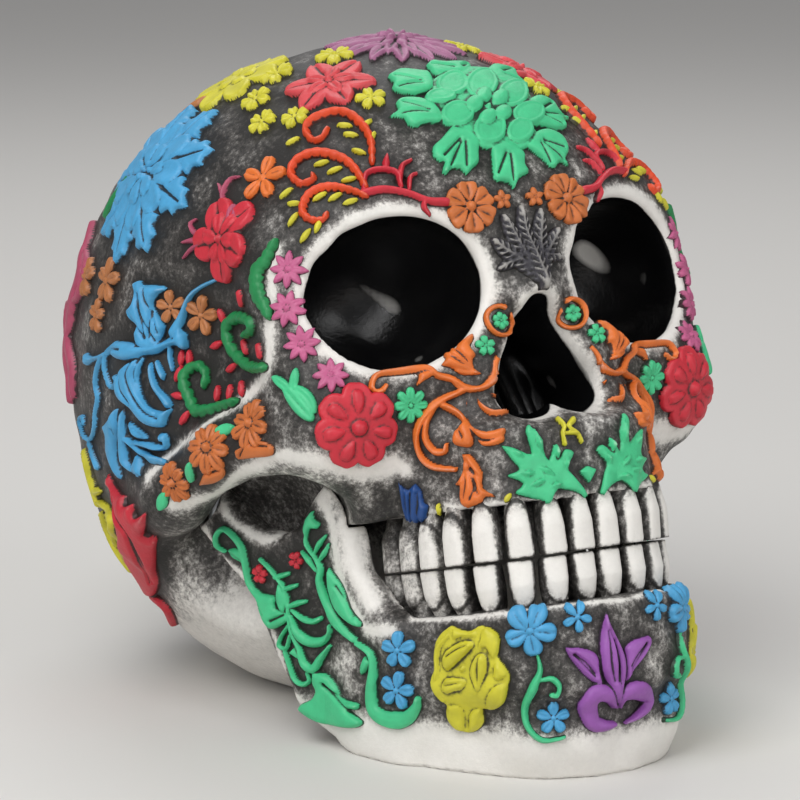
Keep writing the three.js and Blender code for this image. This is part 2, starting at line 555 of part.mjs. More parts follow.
const PAIRED = [
  { name: 'coral_flower', at: [-29, -14, 156], colour: CORAL, flowers: [[6, 11, 2.8]] },
  { name: 'crest_flower', at: [-34, 22, 156], colour: YELLOW, flowers: [[6, 11, 2.6]] },
  { name: 'brow_scroll', at: [-36, -41, 138], colour: FLAME, strokes: [[0, -3, -12, 17, 8, 7, 2.4, 1],
    [2, -2, 115, 32, 190, 4, 2.2], [2, -2, 150, 26, 120, 4, 2.2], [2, -3, 178, 22, 80, 3.6, 2]] },
  { name: 'brow_daisy', at: [-14, -54, 129], colour: ORANGE, flowers: [[6, 5.8, 2]] },
  { name: 'temple_flower', at: [-57, 19, 130], colour: SKY, flowers: [[8, 18, 3.2]] },
  { name: 'side_flower', at: [-60, -17, 121], colour: CRIMSON, flowers: [[6, 10.5, 2.8]],
    strokes: [[0, 7, 100, 11, -30, 3, 2]] },
  { name: 'bird', at: [-69, 3, 88], colour: SKY, strokes: [[2, 8, 250, 22, -10, 9, 3],
    [2, 8, 80, 13, 60, 6, 2.6, 1], [2, 6, 35, 12, -15, 2.6, 1.6], [0, 3, 195, 20, 70, 6, 2.2],
    [-3, -8, 235, 24, -50, 5, 2.2], [-3, -8, 265, 26, 60, 5, 2.2], [-2, -6, 300, 20, 90, 4.5, 2.2]] },
  { name: 'temple_scroll_upper', at: [-58, -21, 99], colour: LEAF, strokes: [[2, -9, 95, 26, 230, 4.4, 2]] },
  { name: 'temple_scroll_lower', at: [-62, -15, 83], colour: LEAF,
    strokes: [[9, -5, 185, 28, -230, 4.4, 2]] },
  { name: 'cheek_flower', at: [-48, -58, 81], colour: CRIMSON, flowers: [[8, 9.5, 3]] },
  { name: 'nose_scroll', at: [-23, -65, 88], colour: ORANGE, strokes: [[-1, -1, 88, 16, -20, 5, 2.2],
    [1, 0, 150, 22, 70, 5, 2.2], [1, -1, 215, 18, -170, 4.4, 2.2], [0, 1, 262, 24, 40, 6, 2.4, 1]] },
  { name: 'lip_leaf', at: [-9, -77, 73], colour: SEA_GREEN, strokes: [[6, -5, 98, 13, 15, 5, 2, 1],
    [6, -4, 138, 16, 10, 5, 2, 1], [6, -3, 178, 14, 0, 5, 2, 1]] },
  { name: 'arch_daisy', at: [-64, -37, 79], colour: ORANGE, flowers: [[6, 5, 2]] },
  { name: 'rear_scroll', at: [-65, 36, 50], colour: YELLOW, strokes: [[4, -18, 105, 29, -20, 5, 2.2]] },
  { name: 'rear_leaf', at: [-65, 21, 42], colour: CRIMSON, strokes: [[4, -14, 112, 30, 10, 8, 2.4, 1]] },
  { name: 'side_scroll', at: [-62, 56, 92], colour: MAGENTA, strokes: [[0, -20, 95, 40, 40, 5, 2.2]] },
];
const PAIRED_JAW = [
  { name: 'ramus_vine', at: [-47, -28, 29], colour: SEA_GREEN, strokes: [[-15, 13, -52, 42, -8, 4, 2],
    [9, -19, 92, 32, 25, 4, 2], [-6, 1, 60, 13, -120, 3.4, 1.8], [1, -8, 85, 12, 120, 3.4, 1.8]] },
  { name: 'jaw_rose', at: [-30, -79, 25], colour: YELLOW, flowers: [[6, 11.5, 4, 0.15]] },
  { name: 'chin_flower', at: [-20, -89, 34], colour: SKY, flowers: [[5, 6, 2.2]] },
];

// Small ornaments that are cast in one with the skull or the jaw, with their foot sunk into the resin.
const MOULD_DEPTH = 1.2;
const MOULD_HEIGHT = 2.7; // of a small flower, from its foot
const BUD_SHAPE = [[0, 0], [0.5, 1]];
const SKULL_MOULDED = [
  { name: 'yellow flower by the crest', at: [-37, 7, 151], flowers: [[5, 4, MOULD_HEIGHT]] },
  { name: 'yellow flower below it', at: [-42, -5, 146], flowers: [[5, 3.9, MOULD_HEIGHT]] },
  { name: 'orange star flower', at: [-50, -20, 135], flowers: [[5, 6, MOULD_HEIGHT, 0.5]] },
  { name: 'upper brown flower', at: [-65, 31, 105], flowers: [[5, 5, MOULD_HEIGHT]] },
  { name: 'lower brown flower', at: [-67, 34, 96], flowers: [[5, 4.6, MOULD_HEIGHT]] },
  { name: 'first pink daisy', at: [-55, -39, 116], flowers: [[6, 4.6, MOULD_HEIGHT]] },
  { name: 'second pink daisy', at: [-57, -41, 107.5], flowers: [[6, 4.5, MOULD_HEIGHT]] },
  { name: 'third pink daisy', at: [-55, -45, 99.5], flowers: [[6, 4.5, MOULD_HEIGHT]] },
  { name: 'last pink daisy', at: [-51, -52, 93.5], flowers: [[6, 4, MOULD_HEIGHT]] },
  { name: 'middle arch daisy', at: [-69, -25, 74], flowers: [[6, 5, MOULD_HEIGHT]] },
  { name: 'rear arch daisy', at: [-70, -10, 63], flowers: [[6, 4.8, MOULD_HEIGHT]] },
  { name: 'navy flower', at: [-33, -59, 62], flowers: [[5, 4.2, MOULD_HEIGHT]] },
  { name: 'scroll on the outer eye rim', at: [-58, -34, 115], strokes: [[2, 7.6, 240, 17, 80, 4, 3.2]] },
];
const JAW_MOULDED = [
  { name: 'upper sky flower', at: [-39, -62, 28], flowers: [[5, 4.6, MOULD_HEIGHT]] },
  { name: 'lower sky flower', at: [-39, -62, 18], flowers: [[5, 4.6, MOULD_HEIGHT]] },
  { name: 'sky flower by the chin', at: [-11, -95, 39], flowers: [[5, 3.4, MOULD_HEIGHT]] },
  { name: 'sky flower under it', at: [-16, -93, 15], flowers: [[5, 3.6, MOULD_HEIGHT]] },
];

function moulded(body, field, list, grow) {
  for (const { at, flowers = [], strokes = [] } of list)
    for (const [, sign] of SIDES) {
      const right = seat(field, at);
      const place = (a, b, lift) =>
        right(a, b, lift - SEAT_GAP - MOULD_DEPTH).multiply(new THREE.Vector3(-sign, 1, 1));
      for (const [petals, radius, height, notch] of flowers)
        body = body.add(flower(place, [petals, radius + grow, height + grow, notch], BUD_SHAPE));
      for (const [a, b, heading, length, bend, width, height] of strokes)
        body = body.add(stroke(place, [a, b, heading, length, bend, width + 2 * grow, height + grow]));
    }
  return body;
}
shell = moulded(shell, skullField, SKULL_MOULDED, 0);
jaw = moulded(jaw, jawField, JAW_MOULDED, 0);
shellKeepOut = moulded(shellKeepOut, skullField, SKULL_MOULDED, SEAT_LEAST);
jawKeepOut = moulded(jawKeepOut, jawField, JAW_MOULDED, SEAT_LEAST);

function ornament(field, { at, flowers = [], strokes = [] }, sign = -1) {
  const right = seat(field, at);
  const place = (a, b, lift) => right(a, b, lift).multiply(new THREE.Vector3(-sign, 1, 1));
  const heads = flowers.map((sizes) => flower(place, sizes));
  const made = joined([...heads, ...strokes.map((sizes) => stroke(place, sizes))]);
  return made.subtract(shellKeepOut).subtract(jawKeepOut);
}

const RESIN = 0xd9d5cd, ENAMEL = 0xeeeae0, STEEL = 0xb8bcc0, RUBBER = 0x55524e;
const figurine = new THREE.Group();
figurine.add(finished('skull_shell', shell, RESIN), finished('lower_jaw', jaw, RESIN));
figurine.add(finished('upper_teeth', upperTeeth, ENAMEL), finished('lower_teeth', lowerTeeth, ENAMEL));
const plugMiddle = [0, POUR_Y, PLUG_HEIGHT / 2 + PLUG_GAP];
const plug = round(POUR_RADIUS - PLUG_GAP, PLUG_HEIGHT, ROUND_SIDES, plugMiddle);
figurine.add(finished('base_plug', plug, RUBBER));
for (const [side, sign] of SIDES)
  figurine.add(finished(`jaw_pin_${side}`, pinAt(sign, PIN_RADIUS, PIN_LENGTH), STEEL));
for (const made of MIDDLE)
  figurine.add(finished(made.name, ornament(made.on ?? skullField, made), made.colour));
for (const [field, list] of [[skullField, PAIRED], [jawField, PAIRED_JAW]])
  for (const made of list)
    for (const [side, sign] of SIDES)
      figurine.add(finished(`${made.name}_${side}`, ornament(field, made, sign), made.colour));

// The origin is on the table under the middle of the whole figurine.
const reach = new THREE.Box3().setFromObject(figurine);
const middle = reach.getCenter(new THREE.Vector3());
for (const piece of figurine.children) piece.geometry.translate(-middle.x, -middle.y, -reach.min.z);
export default figurine;
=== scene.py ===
# Looks of the painted resin skull figurine: casting, teeth, raised ornaments, paint and light.
# Shapes are worked out in millimetres in the table's frame, face towards -Y, and put into the packed
# frame, in metres, when a piece is made.
import math

import bpy
import numpy as np
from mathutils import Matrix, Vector, kdtree


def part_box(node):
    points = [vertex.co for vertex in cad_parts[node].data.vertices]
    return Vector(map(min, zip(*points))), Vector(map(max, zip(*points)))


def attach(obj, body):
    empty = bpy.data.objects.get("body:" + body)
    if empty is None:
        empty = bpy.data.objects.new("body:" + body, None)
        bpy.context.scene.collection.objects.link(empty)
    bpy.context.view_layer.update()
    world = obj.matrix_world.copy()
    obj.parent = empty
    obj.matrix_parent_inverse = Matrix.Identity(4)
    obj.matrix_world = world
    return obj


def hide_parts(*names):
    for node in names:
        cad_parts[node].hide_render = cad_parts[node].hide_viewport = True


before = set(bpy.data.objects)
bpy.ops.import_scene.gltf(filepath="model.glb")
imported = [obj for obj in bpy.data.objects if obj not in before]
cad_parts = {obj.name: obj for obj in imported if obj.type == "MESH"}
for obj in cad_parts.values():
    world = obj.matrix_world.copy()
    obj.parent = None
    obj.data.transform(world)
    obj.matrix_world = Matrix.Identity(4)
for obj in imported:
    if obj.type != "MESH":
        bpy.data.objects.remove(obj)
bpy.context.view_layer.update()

BODY = "root"

# The casting's driving sizes, in millimetres and degrees.
HEAD_TILT = 25
HEAD_Y = 10
HEAD_Z = 79
CASE_HALF = (71, 96, 81)
DOME_FULLER = 0.35  # added to the power of 2 that rounds the dome, towards the back
DOME_FROM = 60
DOME_TO = 5
BROW_Y = 20
BROW_Z = 102
BROW_HALF = (110, 79.5, 68)
BROW_SOFT = 10
BITE_TILT = 14
BITE_Y = -87.5
BITE_Z = 52.5
CROWN_UPPER = 13
CROWN_LOWER = 11
TOOTH_PITCH = 7
TEETH_PER_SIDE = 8
UPPER_ARCH = {"half": 29, "depth": 42, "front": 4}
LOWER_ARCH = {"half": 28, "depth": 41, "front": 5}
ARCH_POWER = 3
JAW_HALF = 39
RAMUS_HALF = 42
JAW_DEPTH = 62
JAW_OPEN_Y = -25
JAW_WALL = 11
RAMUS_WALL = 9
JAW_SCALE = 7
BOND_GAP = 0.8
POUR_Y = 26
POUR_RADIUS = 12
POUR_RECESS = 5

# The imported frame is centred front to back; the plug says by how much.
plug_low, plug_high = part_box("base_plug")
FRAME_SHIFT = np.array([0, (plug_low.y + plug_high.y) / 2 * 1000 - POUR_Y, 0])

# The photograph's camera, in the table's frame.
VIEW_TURN = -32
VIEW_RISE = 10.5
VIEW_DISTANCE = 1017.5
VIEW_TARGET = np.array([0, 0, 74])
VIEW_FOCAL = 4070  # in pixels of the 800 x 800 frame
VIEW_HALF = 400
SENSOR = 36


def turned_axes(turn, rise):
    a, e = math.radians(turn), math.radians(rise)
    back = np.array([math.sin(a) * math.cos(e), -math.cos(a) * math.cos(e), math.sin(e)])
    right = np.array([math.cos(a), math.sin(a), 0])
    return back, right, np.cross(back, right)


VIEW_BACK, VIEW_RIGHT, VIEW_UP = turned_axes(VIEW_TURN, VIEW_RISE)


# Distance fields of the casting: negative inside, in millimetres. A point is three arrays.
def join(a, b, soft):
    h = np.maximum(soft - np.abs(a - b), 0) / soft
    return np.minimum(a, b) - h * h * soft / 4


def both(a, b, soft):
    return -join(-a, -b, soft)


def carve(a, b, soft):
    return both(a, -b, soft)


def fade(value, start, end):
    t = np.clip((value - start) / (end - start), 0, 1)
    return t * t * (3 - 2 * t)


def ellipsoid(p, middle, half):
    scaled = [(c - m) / s for c, m, s in zip(p, middle, half)]
    k0 = np.sqrt(sum(q * q for q in scaled))
    k1 = np.sqrt(sum((q / s) ** 2 for q, s in zip(scaled, half)))
    return k0 * (k0 - 1) / np.maximum(k1, 1e-9)


def limb(p, start, end, first, last=None):
    last = first if last is None else last
    e = [b - a for a, b in zip(start, end)]
    offset = [c - a for c, a in zip(p, start)]
    t = np.clip(sum(o * v for o, v in zip(offset, e)) / sum(v * v for v in e), 0, 1)
    gap = np.sqrt(sum((o - t * v) ** 2 for o, v in zip(offset, e)))
    return gap - first - t * (last - first)


def turned(p, middle, degrees):
    c, s = math.cos(math.radians(degrees)), math.sin(math.radians(degrees))
    x, f = p[0] - middle[0], p[1] - middle[1]
    return middle[0] + x * c - f * s, middle[1] + x * s + f * c, p[2]


def polygon(px, py, points):
    d = np.full(px.shape, np.inf)
    inside = np.zeros(px.shape, bool)
    for (ax, ay), (bx, by) in zip(points, [points[-1], *points[:-1]]):
        ex, ey = bx - ax, by - ay
        t = np.clip(((px - ax) * ex + (py - ay) * ey) / (ex * ex + ey * ey), 0, 1)
        d = np.minimum(d, np.hypot(px - ax - t * ex, py - ay - t * ey))
        if ay != by:
            inside ^= ((ay > py) != (by > py)) & (px < ax + ex * (py - ay) / ey)
    return np.where(inside, -d, d)


def tilt_pair(degrees):
    return math.cos(math.radians(degrees)), math.sin(math.radians(degrees))


HEAD_COS, HEAD_SIN = tilt_pair(HEAD_TILT)
BITE_COS, BITE_SIN = tilt_pair(BITE_TILT)


def in_head(p):
    """Side, forward and up in the head's frame, folded to one half."""
    dy, dz = HEAD_Y - p[1], p[2] - HEAD_Z
    return np.abs(p[0]), dy * HEAD_COS + dz * HEAD_SIN, dz * HEAD_COS - dy * HEAD_SIN


def in_bite(p):
    """Side, back from the incisor edge and up from the bite, folded to one half."""
    dy, dz = p[1] - BITE_Y, p[2] - BITE_Z
    return np.abs(p[0]), dy * BITE_COS - dz * BITE_SIN, dy * BITE_SIN + dz * BITE_COS


def from_bite(x, back, rise):
    return np.stack([x, BITE_Y + back * BITE_COS + rise * BITE_SIN,
                     BITE_Z - back * BITE_SIN + rise * BITE_COS], -1)


def dental_oval(bite, arch):
    side = np.abs(bite[0]) / arch["half"]
    deep = np.abs(bite[1] - arch["front"] - arch["depth"]) / arch["depth"]
    return (np.cbrt(side ** 2 * side + deep ** 2 * deep) - 1) * arch["half"]


def arch_spots(arch):
    """Where each tooth of one half stands on the dental oval, and which way the oval runs there."""
    angle = np.arange(0, math.pi / 2, 0.001)
    x = arch["half"] * np.sin(angle) ** (2 / ARCH_POWER)
    back = arch["front"] + arch["depth"] * (1 - np.cos(angle) ** (2 / ARCH_POWER))
    walked = np.concatenate([[0], np.cumsum(np.hypot(np.diff(x), np.diff(back)))])
    spots = []
    for n in range(TEETH_PER_SIDE):
        k = int(np.searchsorted(walked, (n + 0.5) * TOOTH_PITCH))
        along = np.array([x[k + 1] - x[k], back[k + 1] - back[k]])
        spots.append((np.array([x[k], back[k]]), along / np.linalg.norm(along)))
    return spots


# Hollows and masses of the skull in the head's frame: middle, half sizes, softness.
HOLLOWS = [
    ((80, 36, 4), (22, 24, 26), 12),  # temple
    ((68, 20, -42), (30, 42, 26), 8),  # under the cheek arch
    ((0, 32, -100), (84, 54, 50), 12),  # throat
]
MASSES = [
    ((0, 46, -30), (32, 27, 30), 10),  # upper jaw
    ((43, 50, -24), (16, 12, 13), 8),  # cheek
]
FACE_LIMBS = [
    ((8, 67, 18.5), (44, 56, 22), 8.5, 8.5, 8),  # brow ridge
    ((52, 49, 20), (51, 50, -14), 6.5, 6.5, 8),  # outer eye rim
    ((46, 55, -19), (16, 66, -16), 6, 6, 8),  # lower eye rim
    ((0, 66, 8), (0, 76, -3), 6, 5, 8),  # nose bridge
    ((10, 66, 2), (17, 66, -27), 6, 6, 6),  # nose side
]
ARCH_LIMBS = [
    ((53, 46, -24), (63, 24, -21), 7, 7, 6),
    ((63, 24, -21), (64, 0, -24), 7, 8, 4),
    ((64, 0, -24), (60, -22, -25), 8, 9, 6),
]
EYE_MIDDLE = (32, 61, 3.5)
EYE_HALF = (20, 26, 18.5)
EYE_TURN = -17
NOSE_TOP = (0, 0, -7)
NOSE_FOOT = (6.5, 0, -24)
NOSE_RADII = (4, 7.5)
NOSE_DEPTH = 48
SOCKET_SOFT = 4
NOSE_RIDGES = [((0, 50, -6), (0, 57, -27), 2.2), ((6.5, 48, -12), (7, 52, -27), 2)]
BROW_HOLE = ((27, 77, 29), (27, 60, 27), 1.3)  # nerve hole over each eye
GUM_RISE = 26
GUM_FOOT = 6
GUM_OUT = 2
GUM_BACK = 66
GUM_SOFT = 4
FACE_SOFT = 8
# Bulges of the tooth roots.
ROOT_LENGTH = 9
ROOT_RADIUS = 2.6
ROOT_TIP = 1.4
ROOT_OUT = 0.8
ROOT_LEAN = 1.5
ROOT_SOFT = 3
ROOT_TEETH = 6
RIDGE_SOFT = 3
HOLE_SOFT = 1
FAR = 99.0

# Slow waves that leave the hand-smoothed clay a little uneven.
WAVE_HEIGHT = 0.1
WAVE_LENGTHS = (31, 23, 17, 13, 10, 8)
wave_draw = np.random.default_rng(7)
WAVES = [(2 * math.pi / length * v / np.linalg.norm(v), wave_draw.uniform(0, 6.28))
         for length in WAVE_LENGTHS for v in [wave_draw.normal(size=3)]]


def unevenness(p):
    return WAVE_HEIGHT * sum(np.sin(p[0] * w[0] + p[1] * w[1] + p[2] * w[2] + phase) for w, phase in WAVES)


def eye_field(head):
    return ellipsoid(turned(head, EYE_MIDDLE, EYE_TURN), EYE_MIDDLE, EYE_HALF)


def nose_field(head):
    opening = limb((head[0], 0 * head[1], head[2]), NOSE_TOP, NOSE_FOOT, *NOSE_RADII)
    return both(opening, NOSE_DEPTH - head[1], SOCKET_SOFT)


UPPER_SPOTS = arch_spots(UPPER_ARCH)
LOWER_SPOTS = arch_spots(LOWER_ARCH)


def root_bulges(bite, spots, gum, way):
    d = np.full(bite[0].shape, FAR)
    for spot, along in spots[:ROOT_TEETH]:
        foot = (spot[0] + along[1] * ROOT_OUT, spot[1] - along[0] * ROOT_OUT, gum)
        tip = (spot[0], spot[1] + ROOT_LEAN, gum + way * ROOT_LENGTH)
        d = np.minimum(d, limb(bite, foot, tip, ROOT_RADIUS, ROOT_TIP))
    return d


def brain_case(head):
    """An ellipsoid whose dome is fuller than round towards the back."""
    side, forward, up = head
    flat = np.hypot(side / CASE_HALF[0], forward / CASE_HALF[1])
    rise = np.maximum(up, 0) / CASE_HALF[2]
    power = 2 + DOME_FULLER * fade(DOME_FROM - forward, 0, DOME_FROM - DOME_TO)
    reach = (flat ** power + rise ** power) ** (1 / power)
    swell = np.sqrt(side ** 2 + forward ** 2 + up ** 2) * (1 / reach - 1 / np.hypot(flat, rise))
    return ellipsoid(head, (0, 0, 0), CASE_HALF) - np.where(up > 0, swell, 0)


def skull_whole(p):
    """The skull before its sockets are cut."""
    head, bite = in_head(p), in_bite(p)
    d = brain_case(head)
    brow = (np.abs(p[0]), np.minimum(p[1] - BROW_Y, 0), np.maximum(p[2] - BROW_Z, 0))
    d = both(d, ellipsoid(brow, (0, 0, 0), BROW_HALF), BROW_SOFT)
    for middle, half, soft in HOLLOWS:
        d = carve(d, ellipsoid(head, middle, half), soft)
    for middle, half, soft in MASSES:
        d = join(d, ellipsoid(head, middle, half), soft)
    for start, end, first, last, soft in FACE_LIMBS + ARCH_LIMBS:
        d = join(d, limb(head, start, end, first, last), soft)
    gum_height = np.abs(bite[2] - GUM_RISE / 2 - GUM_FOOT) - GUM_RISE / 2
    d = join(d, both(dental_oval(bite, UPPER_ARCH) - GUM_OUT, gum_height, GUM_SOFT), FACE_SOFT)
    return d


def skull_field(p):
    head, bite = in_head(p), in_bite(p)
    d = join(skull_whole(p), root_bulges(bite, UPPER_SPOTS, CROWN_UPPER, 1), ROOT_SOFT)
    d = np.maximum(d, -np.maximum(bite[2] - CROWN_UPPER, bite[1] - GUM_BACK))
    d = carve(d, eye_field(head), SOCKET_SOFT)
    return carve(d, nose_field(head), SOCKET_SOFT) + unevenness(p)


def skull_skin(p):
    """The skull with what only the visible skin has: ridges in the nose, nerve holes, foot and recess."""
    head = in_head(p)
    d = skull_field(p)
    for start, end, radius in NOSE_RIDGES:
        d = join(d, limb(head, start, end, radius), RIDGE_SOFT)
    d = carve(d, limb(head, *BROW_HOLE), HOLE_SOFT)
    recess = np.maximum(np.hypot(p[0], p[1] - POUR_Y) - POUR_RADIUS, p[2] - POUR_RECESS)
    return np.maximum(np.maximum(d, -recess), -p[2])


# Side view of the jaw's rising branch, back and up, and the sizes of the jaw's body.
RAMUS = [(4, 49), (-4, 43), (-17, 31.5), (-23, 20), (-29, 9), (-42, 0), (-62, 0), (-72, 20), (-60, 33),
         (-48, 44), (-43, 58), (-39, 67), (-34, 60), (-30, 53), (-24, 49.5), (-17, 50), (-11, 53),
         (-4, 58), (5, 56)]
RAMUS_FLARE = 0.3
FLARE_FROM = -40
MOUTH_MARGIN = 7
CHIN = ((7, -85, 10), (14, -83, 10), 10)
RIDGE_HALF = 5
RIDGE_BACK = 40
RIDGE_FOOT = 20
BODY_BACK = -46
UNDERCUT = 6
JAW_SOFT = 6
JAW_EDGE = 4


def jaw_field(p):
    x, y, z = np.abs(p[0]), p[1], p[2]
    deep = np.minimum(y - JAW_OPEN_Y, 0) / JAW_DEPTH
    flare = RAMUS_FLARE * np.maximum(0, y - FLARE_FROM)

    def off_line(half, wide):
        return np.abs(np.hypot(wide / half, deep) - 1) * (half + JAW_SCALE)

    bite = in_bite(p)
    d = both(off_line(JAW_HALF, x) - JAW_WALL / 2, y - BODY_BACK, JAW_SOFT)
    ridge = np.abs(dental_oval(bite, LOWER_ARCH)) - RIDGE_HALF
    d = join(d, both(ridge, np.maximum(bite[1] - RIDGE_BACK, RIDGE_FOOT - z), JAW_EDGE), JAW_SOFT)
    d = join(d, root_bulges(bite, LOWER_SPOTS, -CROWN_LOWER, -1), ROOT_SOFT)
    d = both(d, np.maximum(bite[2] + CROWN_LOWER, -UNDERCUT - z), JAW_EDGE)
    branch = off_line(RAMUS_HALF, x - flare) - RAMUS_WALL / 2
    d = join(d, both(polygon(y, z, RAMUS), branch, JAW_EDGE), JAW_SOFT)
    d = join(d, limb((x, y, z), *CHIN), JAW_SOFT)
    d = np.maximum(d, -np.maximum(dental_oval(bite, LOWER_ARCH) - MOUTH_MARGIN, -CROWN_LOWER - bite[2]))
    return np.maximum(d, BOND_GAP - skull_field(p)) + unevenness(p)


def jaw_skin(p):
    return np.maximum(jaw_field(p), -p[2])


def slope(field, points, step=0.2):
    rise = []
    for axis in np.eye(3) * step:
        rise.append(field((points + axis).T) - field((points - axis).T))
    normal = np.stack(rise, 1)
    return normal / np.maximum(np.linalg.norm(normal, axis=1, keepdims=True), 1e-9)


# Skin of a field: one point in each cell that the surface crosses, then pulled onto the surface.
CORNERS = np.array([(i, j, k) for i in (0, 1) for j in (0, 1) for k in (0, 1)])
COARSE = 4  # cells between the first samples
COARSE_KEEP = 3  # fields may be off by this much over a coarse step


SKIN_PULLS = 2


def sampled(field, lines, cell):
    """The field over a grid, exact near the surface and coarse away from it."""
    values = field(np.meshgrid(*[line[::COARSE] for line in lines], indexing="ij"))
    for axis, line in enumerate(lines):
        values = np.take(values, np.arange(len(line)) // COARSE, axis)
    near = np.argwhere(np.abs(values) < COARSE * COARSE_KEEP * cell)
    values[tuple(near.T)] = field([line[n] for line, n in zip(lines, near.T)])
    return values


def cell_points(values, cells):
    """The mean of the places where the surface crosses each cell's edges, in cells."""
    total = np.zeros((len(cells), 3))
    hits = np.zeros(len(cells))
    for corner in CORNERS:
        for axis in range(3):
            if corner[axis]:
                continue
            unit = np.eye(3, dtype=int)[axis]
            first = values[tuple((cells + corner).T)]
            second = values[tuple((cells + corner + unit).T)]
            crossed = (first < 0) != (second < 0)
            part = np.where(crossed, first / np.where(crossed, first - second, 1), 0)
            total += (cells + corner + part[:, None] * unit) * crossed[:, None]
            hits += crossed
    return total / hits[:, None]


def cell_quads(inside, number):
    """A face over the four cells round each grid edge that the surface crosses."""
    quads = []
    for axis in range(3):
        one, two = np.eye(3, dtype=int)[(axis + 1) % 3], np.eye(3, dtype=int)[(axis + 2) % 3]
        steps = inside.shape[axis] - 1
        before, after = [np.take(inside, range(n, n + steps), axis) for n in (0, 1)]
        for found, flip in ((before & ~after, False), (after & ~before, True)):
            edges = np.argwhere(found)
            around = [number[tuple((edges - off).T)] for off in (0 * one, one, one + two, two)]
            quads.append(np.stack(around[::-1] if flip else around, 1))
    return np.concatenate(quads)


def skin(field, low, high, cell):
    lines = [np.arange(a, b + cell, cell) for a, b in zip(low, high)]
    values = sampled(field, lines, cell)
    inside = values < 0
    wide, deep, tall = np.array(values.shape) - 1
    count = sum(inside[i:i + wide, j:j + deep, k:k + tall].astype(int) for i, j, k in CORNERS)
    mixed = (count > 0) & (count < len(CORNERS))
    cells = np.argwhere(mixed)
    number = np.full(mixed.shape, -1)
    number[mixed] = np.arange(len(cells))
    points = cell_points(values, cells) * cell + np.array([line[0] for line in lines])
    for _ in range(SKIN_PULLS):
        pull = np.clip(field(points.T), -cell / 2, cell / 2)
        points -= pull[:, None] * slope(field, points)
    points[:, 2] = np.maximum(points[:, 2], 0)
    return points, cell_quads(inside, number)


# Looking along a pixel's ray, from before the camera's target to behind it, in millimetres.
LOOK_FROM = 170.0
LOOK_TO = 60
LOOK_STEPS = 45
LOOK_SHARE = 0.8  # part of the field's distance gone in one step


def seen(field, pixels):
    """Points of the casting, sockets filled, that the photograph shows at these pixels."""
    whole = skull_whole if field is skull_field else field
    pixels = np.asarray(pixels, float).reshape(-1, 2)
    aim = (-VIEW_BACK * VIEW_FOCAL + VIEW_RIGHT * (pixels[:, :1] - VIEW_HALF)
           - VIEW_UP * (pixels[:, 1:] - VIEW_HALF))
    aim /= np.linalg.norm(aim, axis=1, keepdims=True)
    eye = VIEW_TARGET + VIEW_BACK * VIEW_DISTANCE
    gone = np.full(len(pixels), VIEW_DISTANCE - LOOK_FROM)
    for _ in range(LOOK_STEPS):
        step = LOOK_SHARE * whole((eye + aim * gone[:, None]).T)
        gone = np.minimum(gone + step, VIEW_DISTANCE + LOOK_TO)
    return eye + aim * gone[:, None]


# Seats: the spans that slopes are taken over, the steps down to the casting and the room for a relief.
SEAT_SPAN = 2
SKIN_SPAN = 0.6
LEVEL = 0.85  # with more upward slope than this, a seat lies level and its up is the figure's back
SETTLE_STEPS = 6
DROP_STEPS = 14
DROP_MOST = 3
TURN_LEAST = 0.2  # cosine at which the casting has turned away from the seat
TURN_ROOM = 10  # height gained for each unit of cosine above that
RIM_ROOM = 2  # height gained for each millimetre away from a socket's rim
RIM_KEEP = 0.6


class Seat:
    """A place on the casting with its own flat axes: across to the right as seen from outside, and up."""

    def __init__(self, field, middle):
        self.field = field
        self.middle = np.asarray(middle, float)
        for _ in range(SETTLE_STEPS):
            gap = field(self.middle[:, None])
            self.middle = self.middle - gap * slope(field, self.middle[None])[0]
        self.out = slope(field, self.middle[None], SEAT_SPAN)[0]
        up = (0, 1, 0) if abs(self.out[2]) > LEVEL else (0, 0, 1)
        self.across = np.cross(up, self.out)
        self.across /= np.linalg.norm(self.across)
        self.rise = np.cross(self.out, self.across)

    def flat(self, pixels):
        points = seen(self.field, pixels) - self.middle
        return np.stack([points @ self.across, points @ self.rise], 1)

    def on_casting(self, a, b):
        points = self.middle + a[:, None] * self.across + b[:, None] * self.rise
        for _ in range(DROP_STEPS):
            step = np.clip(self.field(points.T), -DROP_MOST, DROP_MOST)
            points = points - step[:, None] * self.out
        return points, slope(self.field, points, SKIN_SPAN)

    def room(self, points, out):
        """How high a relief may stand: it ends at the sockets' rims and where the casting turns away."""
        room = (out @ self.out - TURN_LEAST) * TURN_ROOM
        if self.field is skull_field:
            head = in_head(points.T)
            off_rim = np.minimum(eye_field(head), nose_field(head))
            room = np.minimum(room, RIM_ROOM * (off_rim - RIM_KEEP))
        return np.maximum(room, UNDER)


def seat_at(field, pixel):
    return Seat(field, seen(field, pixel)[0])


# Reliefs: each shape gives a box of flat millimetres and a height over it, sinking outside its outline.
UNDER = -1.0
NOWHERE = -99.0
WALL_SLOPE = 4.0
GROOVE_DEPTH = 1.0
GROOVE_HALF = 0.4
RIB_HALF = 0.5
SEED_HEIGHT = 1.4
DOME_EDGE = 0.05
STROKE_EDGE = 0.8  # height left at a stroke's edge, as a share of its ridge
STROKE_GROOVE_HALF = 0.55
LEAF_FULL = 1.9  # how full a leaf's outline is against a slim oval
LEAF_FOOT = 0.1  # width kept at a leaf's foot
LEAF_LEAST = 0.05
LEAF_FALL = 0.25  # part of the height lost from the midrib to the edge
LEAF_VEIN_HALF = 0.45
PATCH_EDGE = 0.85  # height left at a patch's edge, as a share of its middle
PATCH_RISE = 2
PATCH_RIM = (0.6, 1.6)  # where a hollow patch falls in from its edge
VEIN_FROM = 0.2
VEIN_TO = 0.8
RING_POINTS = 14
MARGIN = 1.6


